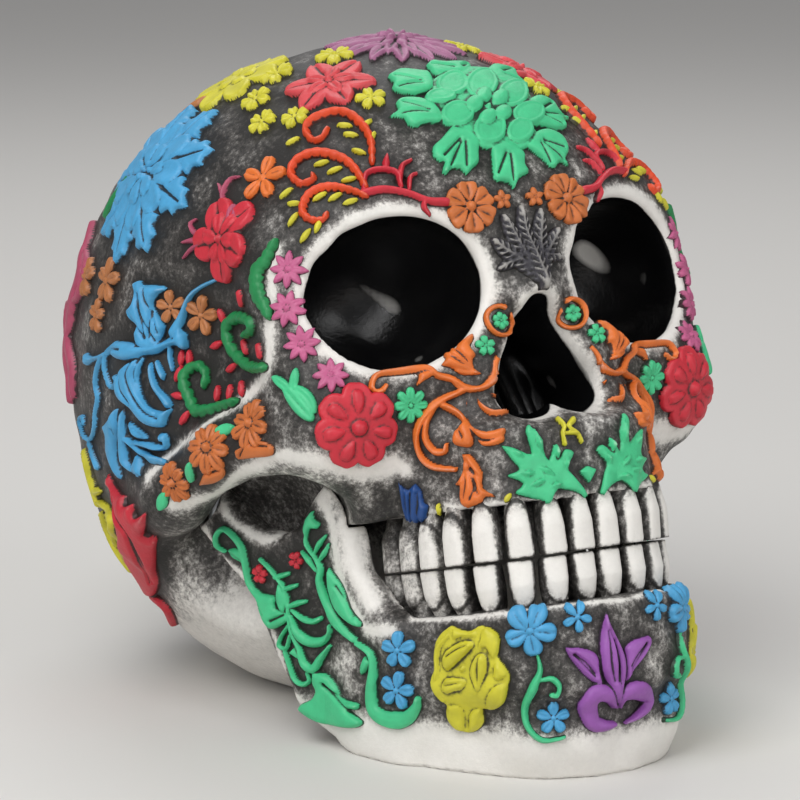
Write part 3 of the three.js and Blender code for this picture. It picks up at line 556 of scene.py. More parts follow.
def shouldered(d, height):
    """A wall of even steepness at the outline that rounds off towards the height inside it."""
    tall = np.maximum(height, 0.1)
    return np.where(d < 0, tall * np.tanh(-WALL_SLOPE * d / tall), np.maximum(-WALL_SLOPE * d, UNDER))


OUTLINES = {
    "round": lambda s: np.sqrt(np.maximum(1 - (2 * s ** 1.5 - 1) ** 2, 0)),
    "pointed": lambda s: 2.73 * s ** 0.7 * (1 - s) ** 0.75,
    "blade": lambda s: np.sin(math.pi * s) ** 0.8,
    "square": lambda s: np.minimum(1.5 * s ** 0.8, 1) * np.minimum(6 * (1 - s), 1) ** 0.4,
    "heart": lambda s: np.sqrt(np.maximum(1 - (2 * s ** 1.9 - 1) ** 2, 0)),
}


def petals(count, inner, outer, half, height, turn=90, tip="round", cup=0.0, rib=0.0, middle=(0, 0)):
    """A ring of petals. Cup hollows them, rib raises or sinks their midline."""

    def raised(a, b):
        best = np.full(a.shape, UNDER)
        for k in range(count):
            c, s = tilt_pair(turn + 360 * k / count)
            u = (a - middle[0]) * c + (b - middle[1]) * s
            v = np.abs((b - middle[1]) * c - (a - middle[0]) * s)
            along = np.clip((u - inner) / (outer - inner), 0, 1)
            wide = half * OUTLINES[tip](along)
            d = np.maximum(v - wide, np.maximum(u - outer, inner - u))
            share = np.clip(v / np.maximum(wide, 0.1), 0, 1)
            tall = height * (1 - cup * (1 - share ** 2)) + rib * np.exp(-(v / RIB_HALF) ** 2)
            best = np.maximum(best, shouldered(d, tall))
        return best

    reach = outer + MARGIN
    return (middle[0] - reach, middle[1] - reach, middle[0] + reach, middle[1] + reach), raised


def drop(middle, length, half, turn):
    """A seed or leaflet, pointed at both ends."""
    c, s = tilt_pair(turn)
    foot = (middle[0] - c * length / 2, middle[1] - s * length / 2)
    return petals(1, 0, length, half, SEED_HEIGHT, turn, "pointed", middle=foot)


def dome(radius, height, base):
    """A round bump in the middle of a flower, on a base of its own height."""

    def raised(a, b):
        off = np.hypot(a / radius, b / radius)
        return shouldered((off - 1) * radius, base + height * np.sqrt(np.maximum(1 - off ** 2, DOME_EDGE)))

    reach = radius + MARGIN
    return (-reach, -reach, reach, reach), raised


def smooth_line(points, steps=6):
    """A curve through the points, rounded between them."""
    points = np.asarray(points, float)
    padded = np.concatenate([[2 * points[0] - points[1]], points, [2 * points[-1] - points[-2]]])
    made = []
    for n in range(len(points) - 1):
        p0, p1, p2, p3 = padded[n:n + 4]
        for t in np.arange(steps) / steps:
            made.append(0.5 * (2 * p1 + (p2 - p0) * t + (2 * p0 - 5 * p1 + 4 * p2 - p3) * t ** 2
                               + (3 * p1 - p0 - 3 * p2 + p3) * t ** 3))
    return np.array([*made, points[-1]])


def nearest(a, b, line):
    """Distance to a line, and the part of its length run there."""
    lengths = np.hypot(*np.diff(line, axis=0).T)
    run = np.concatenate([[0], np.cumsum(lengths)]) / lengths.sum()
    gap = np.full(a.shape, FAR)
    part = np.zeros(a.shape)
    for n in range(len(line) - 1):
        (x0, y0), (ex, ey) = line[n], line[n + 1] - line[n]
        t = np.clip(((a - x0) * ex + (b - y0) * ey) / (ex * ex + ey * ey + 1e-9), 0, 1)
        here = np.hypot(a - x0 - t * ex, b - y0 - t * ey)
        part = np.where(here < gap, run[n] + t * (run[n + 1] - run[n]), part)
        gap = np.minimum(here, gap)
    return gap, part


def line_box(line, wide):
    reach = wide + MARGIN
    return (*(line.min(0) - reach), *(line.max(0) + reach))


def stroke(points, halves, height, groove=0.0, saw=0.0, waves=8):
    """A ridge along a curve; its half widths are spread over the curve's length."""
    line = smooth_line(points)

    def raised(a, b):
        gap, part = nearest(a, b, line)
        wide = np.interp(part, np.linspace(0, 1, len(halves)), halves)
        if saw:
            wide = wide + saw * np.abs(np.sin(part * waves * math.pi))
        tall = height * (STROKE_EDGE + (1 - STROKE_EDGE) * np.clip(1 - gap / wide, 0, 1))
        return shouldered(gap - wide, tall - groove * np.exp(-(gap / STROKE_GROOVE_HALF) ** 2))

    return line_box(line, max(halves) + saw), raised


def leaf_width(part, half):
    return half * LEAF_FULL * np.sqrt((LEAF_FOOT + (1 - LEAF_FOOT) * part) * np.maximum(1 - part, 0))


def leaf(points, half, height, vein=0.3):
    """A smooth-edged leaf along its midrib, which is sunk."""
    line = smooth_line(points)

    def raised(a, b):
        gap, part = nearest(a, b, line)
        wide = leaf_width(part, half)
        tall = height * (1 - LEAF_FALL * np.clip(gap / np.maximum(wide, 0.1), 0, 1))
        tall = tall - vein * np.exp(-(gap / LEAF_VEIN_HALF) ** 2)
        return shouldered(gap - np.maximum(wide, LEAF_LEAST), tall)

    return line_box(line, half), raised


BARB_PITCH = 1.9
BARB_DEPTH = 1.3
BARB_SLANT = 1.2  # how far a barb leans towards the tip for each millimetre away from the midrib
MIDRIB = (0.2, 0.6)  # the barbs start within this distance of the midrib
FOOT_RISE = (0.15, 0.5)  # part of the length over which a frond rises from its foot


def frond(points, half, height, foot):
    """A feather with slanting barbs on both sides of its midrib; foot is its height there, as a share."""
    line = smooth_line(points)
    length = np.hypot(*np.diff(line, axis=0).T).sum()

    def raised(a, b):
        gap, part = nearest(a, b, line)
        barb = 0.5 - 0.5 * np.cos(2 * math.pi * (part * length - BARB_SLANT * gap) / BARB_PITCH)
        tall = height * (foot + (1 - foot) * fade(part, *FOOT_RISE))
        tall = tall - BARB_DEPTH * barb * fade(gap, *MIDRIB)
        return shouldered(gap - np.maximum(leaf_width(part, half), LEAF_LEAST), tall)

    return line_box(line, half), raised


def patch(outline, height, grooves=(), hollow=0.0):
    """A flat-topped shape in a closed outline, with grooves along lines; hollow sinks it inside its rim."""
    edge = smooth_line([*outline, outline[0]], 3)[:-1]

    def raised(a, b):
        d = polygon(a, b, edge)
        tall = height * (PATCH_EDGE + (1 - PATCH_EDGE) * np.clip(-d / PATCH_RISE, 0, 1))
        tall = tall - hollow * fade(-d, *PATCH_RIM)
        for line in grooves:
            gap, _ = nearest(a, b, line)
            tall = tall - GROOVE_DEPTH * np.exp(-(gap / GROOVE_HALF) ** 2)
        return shouldered(d, tall)

    return line_box(edge, 0), raised


def veins(outline, root):
    """Lines from a leaf's root towards each of its tips."""
    reach = np.hypot(*(outline - root).T)
    tips = outline[(reach >= np.roll(reach, 1)) & (reach >= np.roll(reach, -1))]
    return [np.array([root + part * (tip - root) for part in (VEIN_FROM, VEIN_TO)]) for tip in tips]


# One edge of a jagged leaf: part of its length, share of its half width.
LEAF_EDGE = [(0, 0.35), (0.2, 0.8), (0.34, 0.62), (0.5, 1.0), (0.62, 0.66), (0.8, 0.7), (0.84, 0.36),
             (1, 0)]


def leaf_ring(count, inner, outer, half, height, turn):
    """A ring of jagged leaves."""
    made = []
    for k in range(count):
        c, s = tilt_pair(turn + 360 * k / count)
        edge = [(inner + part * (outer - inner), wide * half) for part, wide in LEAF_EDGE]
        edge += [(u, -wide) for u, wide in edge[-2::-1]]
        outline = np.array([(u * c - wide * s, u * s + wide * c) for u, wide in edge])
        made.append(patch(outline, height, veins(outline, inner * np.array([c, s]))))
    return made


def ring(radius, half, height, start, sweep):
    """An arc of a round ridge."""
    angles = np.radians(np.linspace(start, start + sweep, RING_POINTS))
    points = np.stack([radius * np.cos(angles), radius * np.sin(angles)], 1)
    return stroke(points, [half, half, half * 0.7], height)


# Pieces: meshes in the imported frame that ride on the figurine.
def to_frame(points):
    return (points + FRAME_SHIFT) / 1000


def mesh_piece(name, points, faces, material, values, node):
    mesh = bpy.data.meshes.new(name)
    mesh.from_pydata(to_frame(points).tolist(), [], faces)
    for key, array in values.items():
        mesh.attributes.new(key, "FLOAT", "POINT").data.foreach_set("value", array.astype(np.float32))
    mesh.shade_smooth()
    mesh.materials.append(material)
    piece = bpy.data.objects.new(name, mesh)
    bpy.context.scene.collection.objects.link(piece)
    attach(piece, BODY)
    if node:
        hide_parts(node)


def blurred(values, times):
    for _ in range(times):
        padded = np.pad(values, 1, mode="edge")
        rows = (padded[:-2] + 2 * padded[1:-1] + padded[2:]) / 4
        values = (rows[:, :-2] + 2 * rows[:, 1:-1] + rows[:, 2:]) / 4
    return values


# Grids that the reliefs are sampled on, in millimetres.
RELIEF_CELL = 0.3
BROAD_CELL = 0.35
LARGE_CELL = 0.4
CREASE_BLUR = 10
FOOT_WASH_AND_SHADE = 0.55  # crease value of the dark line where a relief meets the casting, partly wash and partly painted shade
FOOT_FADE = (0.1, 0.9)  # heights between which that line ends
FOOT_NEAR = 0.5
UNDERSIDE = UNDER - 0.3
foot_points = []  # where reliefs meet the casting, for the dark wash and painted shade round them


def covered(height):
    """Grid points of the cells that a relief reaches, and the cells as faces over those points."""
    corners = [height[:-1, :-1], height[1:, :-1], height[:-1, 1:], height[1:, 1:]]
    reached = np.maximum.reduce(corners) > UNDER + 0.05
    i, j = np.nonzero(reached & (np.minimum.reduce(corners) > NOWHERE))
    wide = height.shape[1]
    cells = np.stack([i * wide + j, (i + 1) * wide + j, (i + 1) * wide + j + 1, i * wide + j + 1], 1)
    points, faces = np.unique(cells, return_inverse=True)
    return points, faces.reshape(-1, 4)


def relief(seat, shapes, cell):
    """Points, faces and crease depth of a closed relief on its seat."""
    boxes = np.array([box for box, _ in shapes])
    low, high = boxes[:, :2].min(0), boxes[:, 2:].max(0)
    lines = [np.arange(low[i], high[i] + cell, cell) for i in (0, 1)]
    a, b = np.meshgrid(*lines, indexing="ij")
    height = np.full(a.shape, UNDER)
    for box, raised in shapes:
        i0, j0 = [int((box[i] - low[i]) / cell) for i in (0, 1)]
        i1, j1 = [int((box[i + 2] - low[i]) / cell) + 2 for i in (0, 1)]
        part = (slice(i0, i1), slice(j0, j1))
        height[part] = np.maximum(height[part], raised(a[part], b[part]))
    used, _ = covered(height)
    base, out = seat.on_casting(a.ravel()[used], b.ravel()[used])
    room = seat.room(base, out)
    height.flat[used] = np.where(room > UNDER, np.minimum(height.flat[used], room), NOWHERE)
    # Crease: above 0 in grooves, where the paint darkens with wash and painted shade; below 0 on ridges.
    crease = blurred(np.maximum(height, 0), CREASE_BLUR) - np.maximum(height, 0)
    # The dark line along the relief's foot, partly wash and partly painted shade.
    foot = FOOT_WASH_AND_SHADE * (1 - fade(height, *FOOT_FADE))
    crease = np.where(foot > 0, np.maximum(crease, foot), crease)
    kept, top = covered(height)
    base, out = [array[np.searchsorted(used, kept)] for array in (base, out)]
    lift = height.flat[kept]
    foot_points.append(base[np.abs(lift) < FOOT_NEAR])
    upper = base + out * lift[:, None]
    lower = base + out * UNDERSIDE
    edges = np.concatenate([top[:, [n, (n + 1) % 4]] for n in range(4)])
    keys = edges[:, 0] * len(kept) + edges[:, 1]
    open_edges = edges[~np.isin(keys, edges[:, 1] * len(kept) + edges[:, 0])]
    walls = np.concatenate([open_edges[:, ::-1], open_edges + len(kept)], 1)
    faces = np.concatenate([top, top[:, ::-1] + len(kept), walls])
    return np.concatenate([upper, lower]), faces, np.tile(crease.flat[kept], 2)


def ornament(name, paint, seat, shapes, node=False, paired=True, cell=RELIEF_CELL):
    """A relief in one paint, on the right side and mirrored on the left, or once on the middle line."""
    points, faces, crease = relief(seat, shapes, cell)
    for side, sign in (("_right", 1), ("_left", -1)) if paired else (("", 1),):
        label = name + side
        mesh_piece(label + "_relief", points * (sign, 1, 1), faces[:, ::sign].tolist(), PAINTS[paint],
                   {"crease": crease}, label if node else None)
        if sign < 0:
            foot_points.append(foot_points[-1] * (-1, 1, 1))


# Materials. Colours are sRGB hex values.
def linear(hexa):
    shares = [int(hexa[n:n + 2], 16) / 255 for n in (0, 2, 4)]
    return [s / 12.92 if s <= 0.04045 else ((s + 0.055) / 1.055) ** 2.4 for s in shares] + [1.0]


def shaded(colour, factor):
    return [min(c * factor, 1) for c in colour[:3]] + [1.0]


def per_metre(millimetres):
    return 1000 / millimetres


def add(tree, kind, values=None, links=None, **settings):
    made = tree.nodes.new(kind)
    for name, value in settings.items():
        setattr(made, name, value)
    for name, value in (values or {}).items():
        made.inputs[name].default_value = value
    for name, socket in (links or {}).items():
        tree.links.new(socket, made.inputs[name])
    return made


def noise(tree, place, size, detail, roughness=0.5):
    """Cloudy variation whose size is in millimetres."""
    values = {"Scale": per_metre(size), "Detail": detail, "Roughness": roughness}
    return add(tree, "ShaderNodeTexNoise", values, {"Vector": place}).outputs["Fac"]


def new_material(name):
    material = bpy.data.materials.new(name)
    material.use_nodes = True
    tree = material.node_tree
    return material, tree, tree.nodes["Principled BSDF"], add(tree, "ShaderNodeTexCoord").outputs["Object"]


# Paint: sizes of streaks and grain in millimetres, tones, and the crease values that darken or pale it. The
# darkening in creases is partly wash and partly painted shade; the paling on edges is rubbed wear, and on
# the charcoal it is also painted highlight.
# Dark of the creases, partly wash and partly painted shade.
CREASE_WASH_AND_SHADE = "1d1b19"
# Pale of rubbed edges; on the charcoal it is also painted highlight.
RUBBED_AND_HIGHLIGHT = "e9e5dc"
STREAK_SIZE = 4
GRAIN_SIZE = 0.9
TONES = (0.7, 1.15)
GRAIN_SWING = 0.35
CREASE_WASH_AND_SHADE_RANGE = {"From Min": 0.05, "From Max": 0.36, "To Max": 0.94}
WORN_FROM = -0.6
WORN_TO = -1.5
PALE_MOST = 0.4
PAINT_ROUGHNESS = 0.48
PAINT_BUMP = {"Strength": 0.6, "Distance": 0.0002}


def acrylic(name, colour, pale_from=WORN_FROM, pale_to=WORN_TO):
    """Acrylic brushed over resin: satin, streaky, darkened in its creases by wash and painted shade, and
    pale on its edges from rubbed wear and, on the dry-brushed charcoal, from painted highlight.
    """
    material, tree, shader, place = new_material(name)
    paint = linear(colour)
    streak = noise(tree, place, STREAK_SIZE, 4.0)
    grain = noise(tree, place, GRAIN_SIZE, 3.0)
    dull, bright = [shaded(paint, factor) for factor in TONES]
    body = add(tree, "ShaderNodeMixRGB", {"Color1": dull, "Color2": bright}, {"Fac": streak})
    crease = add(tree, "ShaderNodeAttribute", attribute_name="crease")
    rough = add(tree, "ShaderNodeMath", {1: GRAIN_SWING, 2: -GRAIN_SWING / 2}, {0: grain},
                operation="MULTIPLY_ADD")
    depth = add(tree, "ShaderNodeMath", links={0: crease.outputs["Fac"], 1: rough.outputs[0]},
                operation="ADD")
    # Darker in the creases, partly wash and partly painted shade.
    sunk = add(tree, "ShaderNodeMapRange", CREASE_WASH_AND_SHADE_RANGE, {"Value": depth.outputs[0]},
               interpolation_type="SMOOTHSTEP")
    dark = add(tree, "ShaderNodeMixRGB", {"Color2": linear(CREASE_WASH_AND_SHADE)},
               {"Fac": sunk.outputs[0], "Color1": body.outputs[0]})
    # Pale edges: rubbed wear, and on the charcoal painted highlight.
    paling = {"From Min": pale_from, "From Max": pale_to, "To Max": PALE_MOST}
    edge = add(tree, "ShaderNodeMapRange", paling, {"Value": depth.outputs[0]},
               interpolation_type="SMOOTHSTEP")
    paled = add(tree, "ShaderNodeMixRGB", {"Color2": linear(RUBBED_AND_HIGHLIGHT)},
               {"Fac": edge.outputs[0], "Color1": dark.outputs[0]})
    bump = add(tree, "ShaderNodeBump", PAINT_BUMP, {"Height": grain})
    tree.links.new(paled.outputs[0], shader.inputs["Base Color"])
    tree.links.new(bump.outputs[0], shader.inputs["Normal"])
    shader.inputs["Roughness"].default_value = PAINT_ROUGHNESS
    return material


PAINT_COLOURS = {
    "sea_green": "46c78b", "sky": "4ca3d4", "crimson": "cb2a3a", "coral": "d4474d", "orange": "e4752e",
    "amber": "c96f35", "flame": "df4a20", "yellow": "d2cb34", "mauve": "a3678a", "leaf_green": "1c864a",
    "pink": "c4608c", "brown": "b67444", "navy": "1a4888", "purple": "9a59ad", "charcoal": "35333a",
    "magenta": "b04a66",
}
DRY_BRUSH_AND_HIGHLIGHT = {"charcoal": (-0.1, -0.7)}  # crease values between which a paint's ridges turn pale; on the charcoal this is partly dry-brushing and partly painted highlight of its shiny paint
PAINTS = {key: acrylic("acrylic_" + key, colour, *DRY_BRUSH_AND_HIGHLIGHT.get(key, ()))
          for key, colour in PAINT_COLOURS.items()}


# Resin: sizes of the wash's clouds and specks in millimetres, which way it was wiped, and the tones that
# the wash and painted shade run through.
CLOUD_SIZE = 7
SPECK_SIZE = 1.3
SPECK_SHARE = 0.55
WIPED = {"Rotation": (0.5, 0.0, 0.0), "Scale": (1.0, 0.5, 0.35)}
MOTTLE_SWING = 2.8
MOTTLE_FULL = 0.35  # wash and shade value from which the mottle has its full swing
WASH_AND_SHADE_TONES = ((0.0, "ebe8e2"), (0.22, "d8d5cf"), (0.48, "8d8a86"), (0.72, "4a4744"), (1.0, "201e1c"))
LACQUER = "0b0b0c"
LACQUERED = {"From Min": 0.42, "From Max": 0.58}
RESIN_ROUGHNESS = 0.55
LACQUER_ROUGHNESS = 0.2
RESIN_BUMP = {"Strength": 0.5, "Distance": 0.0003}


def washed_and_shaded_resin(name):
    """Cast white resin with a dark wash wiped off its high spots and painted shade in its hollows: mottled,
    satin, glossy in the sockets.
    """
    material, tree, shader, place = new_material(name)
    wash_and_shade = add(tree, "ShaderNodeAttribute", attribute_name="wash_and_shade").outputs["Fac"]
    enamel = add(tree, "ShaderNodeAttribute", attribute_name="enamel").outputs["Fac"]
    wiped_way = add(tree, "ShaderNodeMapping", WIPED, {"Vector": place})
    cloud = noise(tree, wiped_way.outputs[0], CLOUD_SIZE, 6.0, 0.65)
    speck = noise(tree, place, SPECK_SIZE, 4.0, 0.75)
    mottle = add(tree, "ShaderNodeMixRGB", {"Fac": SPECK_SHARE}, {"Color1": cloud, "Color2": speck})
    shift = add(tree, "ShaderNodeMath", {1: MOTTLE_SWING, 2: -MOTTLE_SWING / 2}, {0: mottle.outputs[0]},
                operation="MULTIPLY_ADD")
    held = add(tree, "ShaderNodeMapRange", {"From Max": MOTTLE_FULL}, {"Value": wash_and_shade})
    swing = add(tree, "ShaderNodeMath", links={0: shift.outputs[0], 1: held.outputs[0]},
                operation="MULTIPLY")
    amount = add(tree, "ShaderNodeMath", links={0: wash_and_shade, 1: swing.outputs[0]}, operation="ADD")
    ramp = add(tree, "ShaderNodeValToRGB", links={"Fac": amount.outputs[0]})
    for n, (at, tone) in enumerate(WASH_AND_SHADE_TONES):
        stop = ramp.color_ramp.elements[n] if n < 2 else ramp.color_ramp.elements.new(at)
        stop.position = at
        stop.color = linear(tone)
    lacquer = add(tree, "ShaderNodeMapRange", LACQUERED, {"Value": enamel})
    colour = add(tree, "ShaderNodeMixRGB", {"Color2": linear(LACQUER)},
                 {"Fac": lacquer.outputs[0], "Color1": ramp.outputs[0]})
    gloss = add(tree, "ShaderNodeMapRange", {"To Min": RESIN_ROUGHNESS, "To Max": LACQUER_ROUGHNESS},
                {"Value": lacquer.outputs[0]})
    bump = add(tree, "ShaderNodeBump", RESIN_BUMP, {"Height": speck})
    tree.links.new(colour.outputs[0], shader.inputs["Base Color"])
    tree.links.new(gloss.outputs[0], shader.inputs["Roughness"])
    tree.links.new(bump.outputs[0], shader.inputs["Normal"])
    return material


PLAIN_TONES = (0.85, 1.1)


def plain_finish(name, colour, roughness, metallic, grain_mm):
    """Steel pin or rubber plug: one colour with a fine turned or moulded grain."""
    material, tree, shader, place = new_material(name)
    grain = noise(tree, place, grain_mm, 3.0)
    dull, bright = [shaded(linear(colour), factor) for factor in PLAIN_TONES]
    tone = add(tree, "ShaderNodeMixRGB", {"Color1": dull, "Color2": bright}, {"Fac": grain})
    tree.links.new(tone.outputs[0], shader.inputs["Base Color"])
    shader.inputs["Roughness"].default_value = roughness
    shader.inputs["Metallic"].default_value = metallic
    return material


RESIN = washed_and_shaded_resin("white_resin_with_wash_and_shade")
TOOTH = washed_and_shaded_resin("tooth_resin_with_wash_and_shade")
PLAIN_NODES = {  # material, colour, roughness, metal, size of the grain
    "base_plug": ("moulded_rubber", "55524e", 0.8, 0, 0.6),
    "jaw_pin_right": ("turned_steel", "b8bcc0", 0.35, 1, 0.2),
    "jaw_pin_left": ("turned_steel_left", "b8bcc0", 0.35, 1, 0.2),
}
for label, finish in PLAIN_NODES.items():
    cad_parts[label].data.materials.clear()
    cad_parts[label].data.materials.append(plain_finish(*finish))


# Places of the ornaments that the photograph shows edge-on or not at all, in millimetres.
SEATS_MM = {
    "crown_flower": (0, 2, 162), "crest_flower": (-34, 22, 156), "nape_flower": (0, 100, 62),
    "rear_scroll": (-65, 36, 50), "side_scroll": (-62, 56, 92),
}
# Pixels of the photograph that the others sit at.
SEATS = {
    "forehead_flower": (485, 113), "temple_flower": (152, 176), "coral_flower": (330, 85),
    "brow_daisy": (470, 207), "arch_daisy": (252, 424), "cheek_flower": (358, 427),
    "side_flower": (225, 239), "side_sprig": (222, 215), "brow_scroll": (335, 165),
    "brow_sprig": (396, 182), "brow_seeds": (325, 180),
    "temple_seeds": (215, 360), "temple_scroll_upper": (240, 342), "temple_scroll_lower": (203, 390),
    "rim_scroll": (265, 278), "bird": (140, 380), "rim_sprig": (298, 395), "nose_scroll": (460, 415),
    "nose_ring": (499, 321), "brow_fern": (519, 252), "lip_leaf": (540, 470), "rear_leaf": (139, 548),
    "navy_flower": (415, 508), "arch_fans": (250, 455), "rear_fans": (212, 476), "lip_strokes": (570, 432),
    "ramus_vine": (295, 610), "chin_flower": (530, 630), "jaw_rose": (471, 677), "chin_stem": (537, 700),
    "chin_orchid": (612, 676), "rear_stem": (138, 170), "rear_sprig": (193, 113),
}


def on_skull(name):
    return Seat(skull_field, SEATS_MM[name]) if name in SEATS_MM else seat_at(skull_field, SEATS[name])


def on_jaw(name):
    return seat_at(jaw_field, SEATS[name])


def on_middle(field, name):
    return Seat(field, seen(field, SEATS[name])[0] * (0, 1, 1))


# Shapes given by pixels: strokes by half widths, height and line, patches by height, the pixel their veins
# start from, their outline and any further grooves, ovals by middle and half sizes in pixels.
def strokes(seat, lines, **more):
    return [stroke(seat.flat(pixels), halves, height, **more) for halves, height, pixels in lines.values()]


def patches(seat, shapes):
    made = []
    for height, root, pixels, *lines in shapes.values():
        outline = seat.flat(pixels)
        grooves = veins(outline, seat.flat(root)[0]) if root else []
        made.append(patch(outline, height, grooves + [smooth_line(seat.flat(line)) for line in lines]))
    return made


def ovals(seat, places, height, hollow=0.0):
    turn = np.arange(0, 2 * math.pi, math.pi / 6)
    made = []
    for x, y, half_x, half_y in places.values():
        pixels = np.stack([x + half_x * np.cos(turn), y + half_y * np.sin(turn)], 1)
        made.append(patch(seat.flat(pixels), height, hollow=hollow))
    return made


def drawn(name, paint, lines=None, shapes=None, seat=None, saw=0.0, waves=8, **more):
    """An ornament of strokes and patches given by pixels, on the skull unless it has another seat."""
    seat = seat or on_skull(name)
    made = strokes(seat, lines or {}, saw=saw, waves=waves) + patches(seat, shapes or {})
    ornament(name, paint, seat, made, **more)


def seeds(name, paint, places, length, half):
    """Scattered seeds of one size, each by its pixel and heading."""
    seat = on_skull(name)
    ornament(name, paint, seat, [drop(seat.flat((x, y))[0], length, half, turn) for x, y, turn in places])


def drops(prefix, paint, places, length, half):
    """Single leaflets or dots of one size, each by its pixel and heading."""
    for key, (pixel, turn) in places.items():
        ornament(prefix + key, paint, seat_at(skull_field, pixel), [drop((0, 0), length, half, turn)])


# Flowers of the forehead and the crown.
forehead = on_skull("forehead_flower")
FOREHEAD_LEAVES = {
    "bed": (1.5, None, [
        (431, 82), (445, 74), (468, 70), (490, 72), (512, 80), (530, 100), (532, 126), (537, 140),
        (521, 152), (492, 152), (474, 147), (452, 131), (438, 112), (431, 96)]),
    "upper left": (1.8, (428, 86), [
        (387, 79), (400, 71), (420, 73), (431, 76), (434, 90), (418, 96), (405, 95), (392, 91),
        (393, 85)]),
    "left": (1.8, (436, 116), [
        (387, 118), (397, 113), (395, 105), (403, 100), (420, 100), (436, 108), (443, 123), (425, 126),
        (415, 129), (407, 126), (402, 120)]),
    "lower left": (1.8, (463, 137), [
        (450, 128), (441, 139), (433, 146), (432, 156), (438, 163), (443, 164), (441, 173), (446, 176),
        (451, 171), (460, 171), (466, 176), (473, 169), (478, 164), (478, 154), (479, 143), (471, 134)]),
    "foot": (1.8, (506, 150), [
        (489, 149), (491, 166), (494, 181), (508, 183), (514, 189), (519, 179), (528, 174), (524, 166),
        (523, 153), (503, 143)]),
    "lower right": (1.8, (535, 141), [
        (524, 148), (539, 159), (552, 170), (559, 164), (569, 168), (564, 161), (567, 153), (561, 139),
        (546, 131), (533, 134)]),
    "right": (1.8, (535, 115), [
        (524, 103), (537, 98), (552, 105), (559, 115), (569, 120), (563, 122), (566, 129), (556, 131),
        (539, 128), (526, 128)]),
    "upper right": (1.8, (497, 77), [
        (484, 73), (493, 68), (513, 73), (518, 81), (528, 88), (519, 91), (511, 90), (496, 83)]),
    "top": (1.8, (459, 73), [(425, 68), (431, 64), (445, 66), (469, 66), (466, 76), (445, 78), (433, 76)]),
}
FOREHEAD_PETALS = {
    "lower left": (456, 118, 18, 13), "foot": (488, 132, 18, 17), "lower right": (518, 134, 15, 13),
    "right": (526, 117, 18, 12), "upper right": (511, 98, 17, 14), "top": (480, 89, 18, 16),
    "upper left": (452, 88, 18, 13), "left": (440, 101, 17, 8),
}
FOREHEAD_HEART = {
    "left": (472, 110, 11, 9), "top": (482, 101, 10, 9), "right top": (497, 104, 11, 9),
    "right": (500, 118, 11, 9), "foot": (485, 122, 11, 9),
}
ornament("forehead_flower", "sea_green", forehead,
         patches(forehead, FOREHEAD_LEAVES) + ovals(forehead, FOREHEAD_PETALS, 2.9, 0.8)
         + ovals(forehead, FOREHEAD_HEART, 3.6, 0.6) + [dome(1.3, 0.8, 3.3)],
         node=True, paired=False, cell=BROAD_CELL)


def layered_flower(outer, count):
    """Jagged veined leaves under two rings of rimmed petals and a bud."""
    return leaf_ring(count, outer * 0.35, outer, outer * 0.24, 1.8, 90 + 180 / count) + [
        petals(count, outer * 0.14, outer * 0.66, outer * 0.18, 2.9, 90, "round", cup=0.3),
        petals(max(count - 2, 5), outer * 0.04, outer * 0.38, outer * 0.12, 3.6, 70, "round", cup=0.25),
        petals(5, 0, outer * 0.17, outer * 0.07, 4.1, 90, "round", cup=0.1),
    ]


# Rings of petals: count, inner and outer radius, half width, height, turn.
ornament("temple_flower", "sky", on_skull("temple_flower"), layered_flower(23, 9), node=True,
         cell=LARGE_CELL)
ornament("crown_flower", "mauve", on_skull("crown_flower"), [
    petals(14, 5, 18, 2.2, 1.8, 90, "blade", cup=0.35, rib=-0.4),
    petals(12, 3, 13.5, 2.0, 2.5, 80, "blade", cup=0.35, rib=-0.4),
    petals(9, 1, 9, 1.7, 3.2, 95, "blade", cup=0.3),
    petals(6, 0, 5, 1.4, 3.8, 90, "round")], node=True, paired=False, cell=BROAD_CELL)
ornament("coral_flower", "coral", on_skull("coral_flower"), [
    petals(6, 1, 11.5, 3.7, 1.8, 75, "pointed", cup=0.2, rib=-0.6),
    petals(5, 0.5, 6.5, 2.2, 2.6, 40, "pointed", cup=0.15, rib=-0.5),
    dome(1.4, 1, 2)], node=True, cell=BROAD_CELL)
ornament("crest_flower", "yellow", on_skull("crest_flower"), [
    petals(7, 1, 13, 3.9, 1.8, 80, "round", cup=0.3),
    petals(6, 0, 6, 2.2, 2.5, 60, "round", cup=0.2)], node=True, cell=LARGE_CELL)
ornament("nape_flower", "yellow", on_skull("nape_flower"), layered_flower(21, 8), node=True, paired=False,
         cell=LARGE_CELL)


SMALL_HEIGHT = 1.6
SMALL_HEART = 0.2  # a small flower's middle against its radius
DAISY_HEART = 0.24
PETAL_RIB = -0.5


def small_flower(count, radius, half, tip, turn, height=SMALL_HEIGHT):
    return [petals(count, 0.2, radius, half, height, turn, tip, rib=PETAL_RIB),
            dome(radius * SMALL_HEART, 0.5, height * 0.75)]


def small_flowers(prefix, field, flowers):
    for key, (paint, pixel, count, radius, half, tip, turn) in flowers.items():
        ornament(prefix + key, paint, seat_at(field, pixel), small_flower(count, radius, half, tip, turn))


